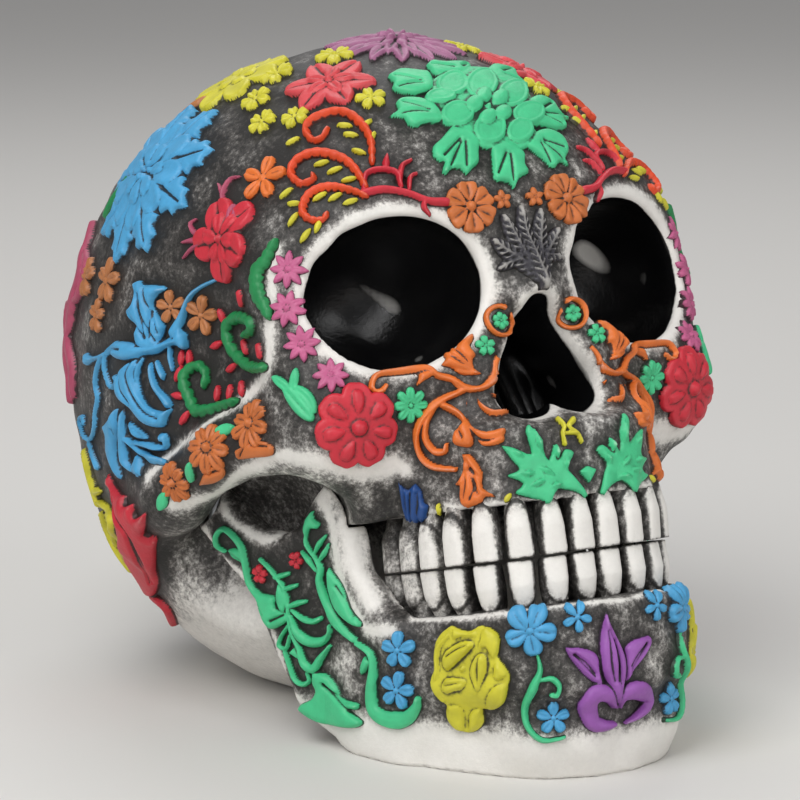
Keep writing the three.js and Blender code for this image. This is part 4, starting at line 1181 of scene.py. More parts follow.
SMALL_FLOWERS = {  # paint, pixel, petals, radius, half width of a petal, tip, turn
    "yellow_a": ("yellow", (257, 101), 5, 4.2, 1.7, "heart", 80),
    "yellow_b": ("yellow", (263, 123), 5, 3.9, 1.6, "heart", 100),
    "yellow_c": ("yellow", (296, 119), 5, 3.6, 1.5, "heart", 60),
    "yellow_d": ("yellow", (335, 58), 5, 5.0, 1.9, "heart", 90),
    "yellow_e": ("yellow", (371, 100), 5, 4.0, 1.4, "round", 70),
    "yellow_f": ("yellow", (278, 76), 5, 4.6, 1.8, "heart", 85),
    "orange_star": ("orange", (265, 180), 5, 6.3, 1.9, "round", 100),
    "brown_a": ("brown", (110, 281), 5, 6.0, 1.8, "round", 90),
    "brown_b": ("brown", (90, 278), 5, 5.4, 1.8, "round", 100),
    "brown_c": ("brown", (99, 316), 5, 4.6, 1.5, "round", 90),
    "brown_d": ("brown", (172, 307), 5, 4.3, 1.4, "round", 100),
    "brown_e": ("brown", (203, 315), 5, 5.2, 1.7, "round", 80),
    "pink_a": ("pink", (289, 270), 8, 4.8, 1.1, "blade", 90),
    "pink_b": ("pink", (288, 309), 8, 4.6, 1.1, "blade", 80),
    "pink_c": ("pink", (302, 344), 8, 4.6, 1.1, "blade", 100),
    "pink_d": ("pink", (331, 376), 8, 4.5, 1.1, "blade", 90),
    "teal_a": ("sea_green", (410, 405), 8, 4.4, 1.2, "round", 90),
    "teal_b": ("sea_green", (499, 321), 6, 2.3, 0.9, "round", 90),
    "teal_c": ("sea_green", (485, 346), 5, 2.6, 1.0, "round", 90),
    "star": ("amber", (502, 200), 5, 2.6, 0.9, "pointed", 90),
}
small_flowers("small_flower_", skull_field, SMALL_FLOWERS)


def big_daisy(count, radius, half, tip):
    return [petals(count, 0.8, radius, half, 2.0, 90, tip, cup=0.3, rib=PETAL_RIB),
            dome(radius * DAISY_HEART, 0.9, 1.4)]


ornament("brow_daisy", "amber", on_skull("brow_daisy"), big_daisy(6, 6.4, 2.7, "square"), node=True)
ornament("arch_daisy", "amber", on_skull("arch_daisy"), big_daisy(8, 6.2, 1.7, "round"), node=True)
REAR_DAISIES = {"middle": ((208, 448), 5.8), "rear": ((175, 482), 5.0)}
for key, (pixel, radius) in REAR_DAISIES.items():
    daisy = big_daisy(8, radius, radius * 0.28, "round")
    ornament("arch_daisy_" + key, "amber", seat_at(skull_field, pixel), daisy)
FANS = {  # height, pixel the veins start from, outline
    "arch_fans": (1.6, (248, 444), [
        (236, 450), (240, 459), (256, 457), (274, 455), (274, 446), (262, 440), (248, 444)]),
    "rear_fans": (1.6, (204, 473), [
        (198, 486), (206, 483), (218, 480), (226, 474), (224, 466), (214, 464), (204, 473)]),
}
for name, fan in FANS.items():
    drawn(name, "amber", shapes={"fan": fan})
ARCH_LEAVES = {"front": ((227, 431), 20), "middle": ((191, 472), 70), "rear": ((164, 500), 60)}
drops("arch_leaf_", "sea_green", ARCH_LEAVES, 6, 1.6)

ornament("cheek_flower", "crimson", on_skull("cheek_flower"), [
    petals(7, 0.5, 10, 3.9, 1.8, 90, "round", cup=0.1),
    petals(7, 2.8, 8.4, 1.9, 2.9, 90, "round", cup=0.1),
    dome(2.3, 1.4, 2)], node=True, cell=BROAD_CELL)
ornament("side_flower", "crimson", on_skull("side_flower"), [
    petals(5, 0.5, 10.5, 4.2, 1.9, 270, "round", cup=0.15, rib=-0.6),
    petals(6, 0.3, 6.4, 2.1, 2.9, 60, "round", cup=0.15, rib=-0.4),
    dome(1.5, 1.0, 2.4)], node=True, cell=BROAD_CELL)

SIDE_TWIGS = {
    "stem": ([0.6, 0.8, 0.4], 1.7, [(227, 208), (225, 195), (232, 181), (241, 178)]),
    "twig": ([0.5, 0.7, 0.4], 1.6, [(226, 200), (222, 190), (219, 185)]),
    "hook": ([0.6, 0.8, 0.4], 1.7, [(206, 238), (196, 233), (192, 225), (197, 220)]),
    "tail": ([0.6, 0.8, 0.4], 1.6, [(203, 240), (192, 240), (183, 242)]),
    "foot": ([0.6, 0.7, 0.4], 1.6, [(204, 242), (192, 248), (184, 258)]),
}
SIDE_BUD = {"bud": (2.2, (234, 224), [(228, 226), (229, 214), (236, 204), (241, 213), (240, 224)])}
drawn("side_sprig", "magenta", SIDE_TWIGS, SIDE_BUD)

BROW_CURLS = {
    "upper curl": ([0.6, 1.1, 1.0, 0.6], 2.1, [
        (372, 164), (371, 143), (364, 128), (350, 116), (333, 114), (314, 122), (307, 132), (314, 142),
        (323, 139), (329, 131)]),
    "middle curl": ([0.7, 1.2, 1.0, 0.6], 2.1, [
        (366, 188), (354, 169), (340, 158), (318, 154), (298, 162), (292, 175), (302, 185), (313, 181),
        (313, 174)]),
    "lower curl": ([0.7, 1.1, 1.0, 0.6], 2.1, [
        (366, 196), (350, 190), (329, 188), (310, 196), (303, 211), (310, 220), (322, 220), (327, 213)]),
}
drawn("brow_scroll", "flame", BROW_CURLS, saw=0.25, waves=16, node=True)
BROW_TWIGS = {
    "stem": ([1.2, 1.0, 0.9, 1.2], 2.0, [(364, 193), (386, 190), (408, 194), (428, 202), (445, 203)]),
    "arch": ([0.7, 0.9, 0.7], 2.0, [(364, 188), (366, 175), (379, 170), (396, 173), (401, 187)]),
    "hook": ([0.7, 0.8, 0.5], 1.9, [(400, 180), (402, 166), (411, 160)]),
    "hook behind": ([0.6, 0.7, 0.5], 1.9, [(409, 190), (410, 178), (416, 174)]),
    "toe": ([0.7, 0.8, 0.4], 1.8, [(424, 200), (424, 207), (430, 213)]),
    "bud": ([0.9, 1.0, 0.4], 1.8, [(386, 170), (386, 163), (387, 155)]),
}
drawn("brow_sprig", "crimson", BROW_TWIGS)

BROW_SEEDS = [  # pixel and heading
    (294, 143, 35), (345, 127, 5), (351, 136, 0), (366, 125, 60), (372, 138, 80), (359, 152, -10),
    (322, 164, 20), (335, 171, 30), (349, 180, 25), (287, 194, 45), (295, 204, 0), (320, 198, 45),
    (335, 198, 50), (350, 202, 40), (294, 220, 60), (306, 236, 55), (318, 226, 80),
]
seeds("brow_seeds", "yellow", BROW_SEEDS, 4.2, 0.85)

TEMPLE_SEEDS = [(242, 298, 95), (224, 316, 120), (219, 345, 25), (234, 368, 35), (247, 347, 120),
                (261, 351, 110), (219, 394, 100), (232, 393, 100), (244, 389, 110), (186, 418, 60),
                (178, 396, 0), (179, 374, 80), (189, 358, 100), (181, 358, 95)]
seeds("temple_seeds", "crimson", TEMPLE_SEEDS, 4.4, 1.1)

TEMPLE_CURLS = {
    "temple_scroll_upper": ([1.0, 1.5, 1.4, 0.9], 2.1, [
        (267, 367), (253, 367), (242, 358), (233, 346), (229, 330), (233, 320), (242, 317), (251, 321),
        (253, 329), (247, 335)]),
    "temple_scroll_lower": ([1.0, 1.5, 1.5, 0.9], 2.1, [
        (239, 402), (222, 407), (207, 411), (196, 410), (190, 398), (185, 386), (185, 375), (193, 367),
        (202, 367), (208, 376), (206, 387)]),
}
for name, curl in TEMPLE_CURLS.items():
    drawn(name, "leaf_green", {"curl": curl}, saw=0.35, waves=14, node=True)
RIM_WAVE = {
    "wave": ([1.0, 1.7, 1.9, 1.2], 2.0, [
        (276, 242), (270, 253), (266, 261), (259, 270), (258, 284), (261, 297), (267, 307), (271, 316)]),
}
drawn("rim_scroll", "leaf_green", RIM_WAVE, saw=0.35, waves=9)

BIRD_FEATHERS = {
    "wing": (2.6, (150, 350), [
        (136, 283), (141, 280), (146, 284), (158, 284), (169, 288), (161, 294), (156, 303), (158, 312),
        (166, 323), (167, 329), (164, 340), (158, 352), (146, 353), (138, 346), (136, 333), (138, 326),
        (132, 318), (131, 310), (135, 304), (137, 294)],
        [(140, 285), (141, 303), (147, 319), (158, 340)],
        [(147, 288), (149, 301), (156, 315), (161, 332)],
        [(134, 313), (140, 325), (148, 338)]),
    "body": (2.9, (130, 350), [
        (118, 349), (121, 341), (136, 342), (146, 346), (155, 344), (167, 338), (176, 332), (182, 324),
        (186, 330), (189, 334), (190, 344), (188, 349), (182, 350), (176, 346), (167, 350), (158, 355),
        (146, 357), (141, 360), (129, 361), (120, 358)]),
    "arm": (2.0, (106, 355), [
        (88, 352), (95, 356), (106, 352), (113, 346), (120, 344), (118, 350), (104, 360), (97, 361),
        (89, 366)]),
    "outer plume": (2.5, (138, 364), [
        (126, 367), (133, 361), (146, 357), (143, 367), (141, 382), (146, 398), (155, 408), (167, 411),
        (173, 408), (170, 419), (166, 427), (155, 427), (146, 422), (136, 410), (126, 402), (121, 392),
        (121, 379)],
        [(135, 362), (132, 375), (137, 394), (149, 411), (162, 419)],
        [(142, 360), (138, 375), (142, 392), (152, 406)],
        [(126, 375), (128, 390), (136, 404)]),
    "inner plume": (2.4, None, [
        (152, 361), (150, 370), (153, 388), (161, 402), (167, 410), (173, 407), (170, 398), (161, 388),
        (158, 379), (155, 367)]),
    "small feather": (2.2, None, [(158, 359), (156, 364), (161, 378), (165, 381), (167, 375), (163, 366)]),
    "left tail": (2.4, (117, 415), [
        (120, 407), (112, 418), (107, 425), (110, 433), (110, 448), (115, 464), (124, 480), (123, 471),
        (120, 459), (119, 444), (121, 428)]),
    "middle tail": (2.3, None, [
        (126, 405), (123, 428), (124, 451), (129, 467), (140, 480), (134, 465), (130, 450), (129, 436)]),
    "tail leaf": (2.1, (133, 424), [(131, 420), (146, 432), (150, 439), (137, 436)]),
    "tail blade": (2.1, None, [(139, 453), (136, 471), (140, 477), (143, 471), (145, 457)]),
}
BIRD_LINES = {
    "neck": ([1.7, 1.0, 0.6, 0.5], 2.2, [
        (176, 332), (182, 320), (187, 304), (193, 294), (204, 286), (219, 279)]),
    "leg": ([0.8, 0.8, 0.6], 1.9, [(170, 347), (170, 358), (173, 370)]),
    "loop": ([0.7, 0.6, 0.5], 1.7, [
        (120, 343), (109, 353), (107, 367), (109, 379), (113, 388), (118, 382), (117, 376)]),
    "thread": ([0.8, 0.6, 0.5], 1.7, [
        (104, 358), (100, 370), (98, 385), (100, 398), (98, 413), (97, 428), (92, 439), (83, 428),
        (81, 419), (85, 416), (87, 424)]),
    "thread end": ([0.5, 0.6, 0.9], 1.7, [(92, 439), (95, 454), (100, 467)]),
    "right tail": ([0.9, 1.2, 0.7], 2.1, [(127, 437), (136, 445), (146, 453), (155, 460), (167, 463)]),
    "tail hook": ([0.8, 1.0, 1.1], 2.1, [
        (136, 442), (149, 444), (159, 447), (167, 445), (166, 437), (163, 437)]),
}
drawn("bird", "sky", BIRD_LINES, BIRD_FEATHERS, node=True, cell=BROAD_CELL)

rim_sprig = on_skull("rim_sprig")
RIM_LEAVES = {  # half width, height, midrib
    "upper": (1.3, 1.8, [(294, 392), (295, 382), (297, 368)]),
    "left": (1.4, 1.8, [(296, 394), (286, 386), (274, 376)]),
    "lower": (2.2, 1.8, [(288, 390), (298, 402), (314, 421)]),
    "right": (1.6, 1.8, [(297, 388), (308, 398), (316, 414)]),
}
ornament("rim_sprig", "sea_green", rim_sprig, [leaf(rim_sprig.flat(pixels), half, height, vein=0.5)
                                               for half, height, pixels in RIM_LEAVES.values()])

NOSE_LINES = {
    "rim vine": ([0.7, 0.9, 0.7], 1.9, [
        (371, 388), (374, 378), (382, 374), (405, 372), (428, 369), (437, 375), (452, 379), (468, 388),
        (483, 387), (495, 373)]),
    "rim curl": ([0.6, 0.7, 0.5], 1.9, [(371, 384), (374, 391), (381, 391), (386, 385)]),
    "big curl": ([0.8, 1.0, 0.9, 0.6], 2.1, [
        (464, 390), (443, 400), (426, 413), (417, 432), (420, 453), (433, 466), (456, 469)]),
    "inner curl": ([0.7, 1.0, 0.7], 2.0, [
        (435, 407), (426, 422), (426, 439), (435, 451), (445, 451), (447, 445)]),
    "cup rim": ([0.5, 0.7, 0.5], 2.2, [(453, 382), (460, 388), (472, 390), (483, 386), (492, 376)]),
    "branch": ([0.7, 0.9, 0.5], 2.1, [(438, 403), (452, 410), (463, 419), (466, 430)]),
}
NOSE_LEAVES = {
    "fan leaf": (2.3, (479, 374), [
        (473, 333), (467, 338), (458, 346), (455, 350), (451, 348), (449, 354), (442, 354), (445, 360),
        (441, 366), (450, 369), (458, 374), (467, 376), (482, 374), (475, 369), (473, 361), (476, 355),
        (471, 347), (474, 339)]),
    "arrow": (1.8, None, [(407, 380), (418, 376), (416, 388), (424, 382), (435, 374), (426, 371)]),
    "nose side leaf": (2.1, (496, 380), [
        (495, 350), (497, 357), (510, 355), (506, 373), (502, 388), (495, 376), (489, 382)]),
    "body leaf": (2.4, (440, 404), [
        (437, 407), (452, 415), (464, 422), (456, 430), (453, 438), (456, 445), (472, 447), (474, 434),
        (464, 415), (455, 407), (443, 401)]),
    "upper frond": (2.2, None, [
        (467, 394), (466, 409), (472, 426), (487, 432), (505, 428), (502, 438), (487, 441), (474, 434),
        (467, 422)]),
    "nose frond": (2.0, None, [
        (476, 394), (481, 403), (495, 413), (508, 413), (504, 417), (491, 417), (479, 407)]),
    "low frond": (2.0, None, [(476, 438), (487, 441), (502, 434), (504, 441), (495, 446), (483, 446)]),
    "bud": (1.8, None, [(488, 392), (502, 393), (495, 398)]),
    "flame leaf": (2.2, (466, 462), [
        (462, 453), (472, 455), (483, 472), (484, 489), (497, 497), (487, 499), (484, 505), (476, 509),
        (468, 509), (462, 501), (462, 487), (455, 485), (462, 476), (464, 464)],
        [(467, 458), (474, 473), (477, 488), (474, 502)],
        [(466, 470), (469, 484), (468, 499)]),
}
drawn("nose_scroll", "orange", NOSE_LINES, NOSE_LEAVES, node=True, cell=BROAD_CELL)
ornament("nose_ring", "orange", on_skull("nose_ring"), [ring(3.5, 0.7, 1.8, 60, 320)])

# The fern between the brows: seven fronds that spread from one foot, in millimetres.
FERN_FOOT = -9
FERN_BEND = -2  # where a frond has gone a third of the way to its side
FERN_BEND_SHARE = 0.35
# Reach to the side, tip, half width, height and share of the height at the foot.
FERN_MIDDLE = (0, 11, 2.4, 2.4, 1)
FERN_SIDES = [(5.5, 9.5, 2.4, 2.1, 0.5), (9.5, 4.5, 2.3, 1.9, 0.4), (9.5, -2.5, 1.9, 1.7, 0.3)]


def fern_frond(reach, tip, *form):
    return frond([(0, FERN_FOOT), (reach * FERN_BEND_SHARE, FERN_BEND), (reach, tip)], *form)


side_fronds = [fern_frond(side * reach, *form) for reach, *form in FERN_SIDES for side in (1, -1)]
ornament("brow_fern", "charcoal", on_middle(skull_field, "brow_fern"),
         [fern_frond(*FERN_MIDDLE), *side_fronds], node=True, paired=False)

LIP_LEAVES = {
    "leaf": (1.4, None, [
        (500, 445), (514, 447), (531, 453), (525, 432), (529, 426), (541, 443), (548, 459), (553, 443),
        (556, 459), (564, 449), (573, 453), (567, 468), (573, 478), (586, 501), (571, 493), (556, 491),
        (547, 505), (539, 501), (514, 495), (522, 484), (506, 476), (518, 470), (510, 459)]),
    "leaflet": (1.7, None, [(577, 472), (585, 466), (592, 470), (588, 484)]),
}
LIP_LEAFLETS = [[(533, 430), (538, 441), (543, 454)], [(555, 445), (555, 452), (557, 459)],
                [(511, 450), (517, 454), (524, 459)], [(518, 473), (526, 474), (535, 475)],
                [(535, 466), (544, 472), (554, 478)], [(529, 486), (537, 484), (545, 482)],
                [(545, 491), (552, 488), (560, 485)], [(566, 456), (564, 464), (565, 472)]]
drawn("lip_leaf", "sea_green", {n: ([0.3, 1.1, 0.3], 2.8, pixels) for n, pixels in enumerate(LIP_LEAFLETS)},
      LIP_LEAVES, node=True)
LIP_STROKES = {
    "left arm": ([0.7, 0.6, 0.7], 1.6, [(559, 421), (564, 427), (562, 433), (564, 444)]),
    "right arm": ([0.8, 0.6, 0.6], 1.6, [(573, 421), (568, 427), (576, 433), (580, 442)]),
    "bridge": ([0.6, 0.6], 1.5, [(562, 433), (576, 433)]),
}
drawn("lip_strokes", "yellow", LIP_STROKES, paired=False)

REAR_LINES = {
    "upper strand": ([0.6, 1.4, 2.0, 1.4], 2.2, [(86, 450), (89, 462), (93, 478), (98, 490), (102, 502)]),
    "front strand": ([0.8, 1.0, 1.3, 1.6, 1.2], 2.1, [
        (101, 499), (109, 506), (115, 521), (120, 539), (128, 556), (133, 564)]),
    "rear strand": ([0.7, 1.0, 1.2, 1.4], 2.1, [(104, 512), (112, 534), (122, 551), (133, 567)]),
    "inner strand": ([0.5, 0.9, 0.5], 1.8, [(108, 513), (114, 529), (119, 545)]),
    "rim line": ([0.7, 0.5, 0.4], 1.7, [(134, 568), (141, 578), (148, 588)]),
}
REAR_TIPS = {"tip": (2.1, None, [(95, 484), (103, 488), (104, 492), (99, 497), (96, 492)])}
drawn("rear_scroll", "yellow", REAR_LINES, REAR_TIPS, node=True, cell=BROAD_CELL)
REAR_BLADE = {
    "blade": (2.4, None, [
        (110, 472), (114, 480), (118, 488), (122, 494), (127, 495), (127, 501), (129, 505), (135, 504),
        (136, 511), (139, 516), (147, 511), (148, 523), (147, 532), (158, 536), (157, 546), (158, 567),
        (160, 583), (157, 594), (151, 592), (143, 577), (134, 563), (127, 550), (122, 532), (118, 515),
        (115, 503), (116, 495), (112, 483)],
        [(117, 503), (130, 526), (138, 546), (148, 564), (155, 580)],
        [(119, 503), (132, 526), (140, 546), (150, 564), (157, 580)]),
}
REAR_STEM = {"stem": ([1.3, 1.5, 1.5, 1.1], 2.0, [(155, 594), (163, 600), (170, 608), (176, 621)])}
drawn("rear_leaf", "crimson", REAR_STEM, REAR_BLADE, node=True, cell=BROAD_CELL)
ornament("side_scroll", "magenta", on_skull("side_scroll"), [
    stroke([(1, -20), (-2, -10), (0, 0), (3, 12), (-2, 24)], [1.6, 2.6, 1.2], 2.2, saw=0.5, groove=0.3),
    stroke([(-2, -12), (-8, -6), (-8, 2), (-3, 4)], [1.1, 1.3, 0.7], 1.9),
    stroke([(1, 4), (8, 8), (9, 15), (4, 18)], [1.1, 1.3, 0.7], 1.9),
    leaf([(0, -5), (5, -11), (7, -19)], 2.4, 2.0)], node=True, cell=LARGE_CELL)
UPPER_REAR_STEM = {"stem": ([0.8, 1.3, 1.3, 0.8], 1.8, [(108, 217), (126, 187), (150, 155), (172, 132)])}
drawn("rear_stem", "leaf_green", UPPER_REAR_STEM, cell=BROAD_CELL)
UPPER_REAR_SPRIG = {"sprig": ([0.7, 1.5, 0.9, 1.5, 0.8], 1.7, [(178, 125), (192, 112), (208, 101)])}
drawn("rear_sprig", "brown", UPPER_REAR_SPRIG, cell=BROAD_CELL)
NAVY_BELL = {
    "bell": (2.1, None, [
        (398, 478), (403, 485), (410, 488), (416, 483), (423, 490), (426, 500), (431, 506), (429, 515),
        (426, 521), (426, 528), (420, 530), (416, 526), (410, 530), (404, 528), (405, 519), (402, 506),
        (400, 491)],
        [(412, 489), (413, 506), (415, 524)],
        [(420, 492), (422, 506), (421, 519)],
        [(405, 488), (407, 505), (408, 520)]),
}
drawn("navy_flower", "navy", shapes=NAVY_BELL)
GUM_DOTS = {"front": ((509, 499), 60), "side": ((441, 508), 100)}
drops("gum_dot_", "yellow", GUM_DOTS, 2.6, 0.8)

# Ornaments of the lower jaw.
VINE_LINES = {
    "outer stem": ([0.6, 1.0, 1.1, 0.9], 1.9, [
        (226, 551), (219, 545), (218, 536), (224, 529), (233, 534), (243, 547), (247, 562), (251, 581),
        (260, 596), (268, 607)]),
    "centre stem": ([0.6, 0.8, 0.9], 1.9, [
        (262, 559), (271, 568), (280, 579), (286, 588), (290, 603), (291, 616), (294, 632), (301, 648)]),
    "leaflet upper": ([0.8, 0.8, 0.6], 1.7, [(277, 577), (284, 575), (290, 573)]),
    "leaflet middle": ([0.8, 0.8, 0.6], 1.7, [(286, 589), (292, 587), (298, 585)]),
    "leaflet lower": ([0.8, 0.9, 0.6], 1.7, [(291, 606), (299, 603), (307, 601)]),
    "upper hook": ([0.6, 1.0, 0.7], 1.9, [(294, 610), (304, 618), (314, 621), (322, 618)]),
    "middle hook": ([0.7, 1.6, 1.3, 0.5], 2.0, [
        (293, 616), (299, 632), (310, 641), (323, 641), (331, 633), (331, 625)]),
    "lower hook": ([0.8, 1.4, 1.2, 0.6], 2.0, [(301, 647), (306, 663), (315, 668), (322, 658), (331, 646)]),
    "loop": ([0.6, 0.7, 0.6], 1.8, [(290, 625), (283, 636), (281, 645), (288, 648), (292, 635)]),
    "foot stem": ([0.7, 0.8, 0.8, 0.6], 1.8, [
        (287, 651), (292, 666), (297, 679), (304, 684), (311, 680), (309, 672)]),
    "front stem": ([0.5, 0.8, 1.4, 1.7, 1.0], 1.9, [
        (308, 531), (308, 544), (317, 557), (322, 568), (321, 581), (327, 599), (336, 618), (347, 631),
        (356, 639)]),
    "front leaflet": ([0.5, 0.9, 0.4], 1.8, [(316, 553), (321, 543), (327, 535)]),
    "low leaflet": ([0.5, 0.9, 0.4], 1.8, [(320, 561), (326, 552), (330, 544)]),
    "rear leaflet": ([0.6, 1.1, 0.4], 1.8, [(318, 570), (311, 560), (303, 551)]),
    "foot hook": ([0.8, 1.3, 2.0, 2.3, 1.0], 2.0, [
        (359, 643), (372, 653), (375, 669), (373, 692), (376, 710), (389, 719), (407, 718), (417, 707),
        (419, 699)]),
}
VINE_LEAVES = {
    "stem leaf": (1.9, (247, 563), [
        (229, 549), (238, 547), (245, 551), (248, 566), (242, 562), (234, 557)]),
    "cluster": (2.0, (270, 622), [
        (251, 581), (264, 592), (277, 596), (279, 607), (291, 612), (291, 621), (276, 629), (270, 627),
        (264, 616), (258, 599)]),
    "centre leaf": (2.1, None, [(280, 581), (278, 596), (282, 610), (288, 612), (291, 599), (286, 588)]),
    "knot": (1.9, (297, 640), [
        (282, 648), (290, 652), (297, 647), (305, 664), (314, 670), (307, 669), (300, 659)]),
    "foot leaf": (2.1, (316, 676), [
        (314, 670), (330, 674), (340, 688), (344, 697), (360, 703), (359, 710), (351, 710), (364, 721),
        (360, 727), (347, 728), (327, 724), (310, 715), (301, 705), (312, 699), (317, 690), (314, 682)]),
    "top leaf": (1.9, None, [
        (308, 518), (314, 510), (316, 518), (321, 523), (319, 529), (312, 529), (308, 538), (305, 529)]),
    "front leaf": (1.9, (334, 575), [
        (330, 566), (343, 584), (352, 608), (362, 621), (362, 627), (352, 624), (338, 610), (331, 590),
        (329, 577)]),
    "hook leaf": (1.8, None, [(366, 655), (362, 666), (362, 675), (356, 677), (367, 673), (373, 662)]),
}
drawn("ramus_vine", "sea_green", VINE_LINES, VINE_LEAVES, on_jaw("ramus_vine"), node=True)
JAW_FLOWERS = {  # as the small flowers of the skull
    "red_rear": ("crimson", (261, 574), 5, 2.5, 1.0, "round", 90),
    "red_front": ("crimson", (297, 560), 5, 2.3, 0.9, "round", 70),
    "sky_upper": ("sky", (399, 650), 5, 4.6, 1.6, "round", 95),
    "sky_lower": ("sky", (398, 690), 5, 4.8, 1.6, "round", 80),
    "sky_chin": ("sky", (577, 617), 5, 3.7, 1.1, "round", 60),
    "sky_foot": ("sky", (553, 718), 5, 4.0, 1.4, "round", 90),
}
small_flowers("jaw_flower_", jaw_field, JAW_FLOWERS)
ornament("chin_flower", "sky", on_jaw("chin_flower"), small_flower(5, 6.2, 2.4, "round", 65, 1.9),
         node=True)
ROSE_PETALS = {
    "base": (1.2, None, [
        (453, 625), (463, 629), (472, 630), (484, 625), (500, 635), (499, 655), (508, 668), (511, 680),
        (505, 700), (495, 709), (484, 708), (486, 722), (475, 732), (460, 730), (448, 715), (446, 703),
        (436, 695), (431, 682), (436, 665), (436, 645), (442, 633)]),
    "outer left": (2.1, None, [
        (434, 683), (435, 670), (435, 656), (438, 643), (446, 635), (452, 630), (453, 637), (446, 646),
        (443, 660), (443, 672), (439, 681)]),
    "top": (2.1, None, [
        (455, 626), (467, 631), (477, 630), (480, 635), (477, 638), (465, 637), (455, 641), (454, 635)]),
    "outer right": (2.1, None, [
        (483, 630), (488, 626), (497, 631), (501, 639), (500, 652), (496, 660), (492, 656), (487, 648),
        (481, 650), (480, 645), (482, 637)]),
    "right": (2.2, None, [
        (494, 676), (495, 664), (499, 661), (506, 666), (510, 674), (505, 679), (498, 681)]),
    "low right": (2.2, None, [
        (486, 702), (489, 691), (496, 684), (505, 682), (509, 689), (506, 700), (499, 707), (492, 707)]),
    "foot left": (2.2, None, [
        (447, 702), (457, 700), (465, 705), (468, 714), (467, 730), (457, 730), (449, 721), (446, 712)]),
    "foot right": (2.2, None, [
        (470, 713), (473, 706), (479, 704), (484, 706), (485, 714), (482, 725), (474, 731), (470, 729)]),
    "low left": (2.1, None, [(434, 688), (441, 694), (450, 697), (446, 701), (439, 697)]),
    "bud left": (3.0, None, [
        (448, 649), (456, 643), (465, 639), (474, 639), (478, 645), (473, 652), (465, 660), (457, 668),
        (450, 672), (445, 666), (445, 656)],
        [(450, 655), (460, 648), (470, 644)]),
    "bud right": (3.0, None, [
        (474, 661), (479, 653), (486, 651), (491, 657), (491, 670), (487, 681), (481, 692), (475, 683),
        (472, 672)],
        [(482, 656), (482, 670), (481, 684)]),
    "bud low": (2.9, None, [
        (443, 684), (448, 677), (457, 676), (466, 677), (470, 682), (466, 689), (457, 691), (450, 693),
        (443, 690)],
        [(447, 685), (457, 683), (466, 682)]),
    "heart": (2.6, None, [(461, 669), (464, 664), (468, 664), (468, 671), (464, 673)]),
}
drawn("jaw_rose", "yellow", shapes=ROSE_PETALS, seat=on_jaw("jaw_rose"), node=True)
CHIN_STEM = {
    "stem": ([0.3, 1.2, 1.0, 0.7, 0.5], 1.9, [
        (537, 653), (540, 670), (535, 684), (527, 700), (525, 715), (530, 730), (542, 740), (556, 739),
        (564, 737)]),
    "curl": ([0.5, 0.7, 0.6], 1.7, [(541, 680), (552, 679), (559, 686), (557, 694), (551, 694)]),
}
drawn("chin_stem", "sea_green", CHIN_STEM, seat=on_jaw("chin_stem"))
ORCHID_PETALS = {
    "left": (1.9, (600, 684), [
        (565, 647), (578, 647), (591, 650), (598, 657), (599, 670), (601, 683), (597, 686), (584, 676),
        (572, 662), (566, 653)],
        [(574, 654), (584, 662), (593, 673)]),
    "top": (2.6, (616, 700), [
        (606, 610), (609, 620), (616, 637), (622, 655), (624, 672), (622, 687), (617, 700), (612, 698),
        (605, 683), (599, 664), (598, 643), (601, 624)],
        [(605, 630), (607, 655), (612, 680)],
        [(611, 640), (615, 660), (616, 680)]),
    "right": (1.9, (625, 680), [
        (648, 635), (649, 643), (643, 656), (633, 670), (626, 681), (624, 676), (623, 655), (624, 646),
        (633, 639)],
        [(643, 643), (636, 653), (629, 666)]),
}
ORCHID_LOBES = {
    "left": ([1.0, 1.9, 2.2, 2.2, 2.0, 1.0], 2.3, [
        (612, 704), (607, 694), (597, 692), (589, 699), (588, 712), (592, 722), (601, 725), (611, 724)]),
    "right": ([1.0, 1.9, 2.2, 2.0, 1.4, 0.6], 2.3, [
        (617, 703), (621, 694), (630, 689), (640, 690), (645, 697), (643, 707), (636, 715), (625, 722)]),
}
drawn("chin_orchid", "purple", ORCHID_LOBES, ORCHID_PETALS, on_middle(jaw_field, "chin_orchid"), node=True,
      paired=False)


# The casting's skins, with where the wash and painted shade lie and where the sockets are lacquered.
SKULL_CELL = 1.2
JAW_CELL = 1.0
CURVE_REACH = 3.0


def bend_of(field, points):
    """How much the surface stands out (above 0) or falls in (below 0) around each point."""
    steps = np.concatenate([np.eye(3), -np.eye(3)]) * CURVE_REACH
    return sum(field((points + step).T) for step in steps) / len(steps)


def gap_to(points, marks):
    """Distance from each point to the nearest mark."""
    tree = kdtree.KDTree(len(marks))
    for n, mark in enumerate(marks):
        tree.insert(mark, n)
    tree.balance()
    return np.array([tree.find(point)[2] for point in points])


# Lines where the photograph shows the wash wiped off, and lines of painted shade: half width in
# millimetres, pixels.
SKULL_BARE = {
    "arch upper edge": (2.2, [
        (275, 250), (272, 290), (270, 330), (267, 367), (246, 397), (197, 431), (148, 477)]),
    "arch lower edge": (2.8, [
        (172, 505), (217, 494), (236, 478), (258, 464), (276, 456), (323, 464), (362, 473), (391, 469)]),
    "gum edge": (1.6, [(426, 520), (445, 512), (480, 507), (510, 510), (540, 502)]),
    "cheek": (2.5, [(372, 468), (392, 462), (405, 470)]),
}
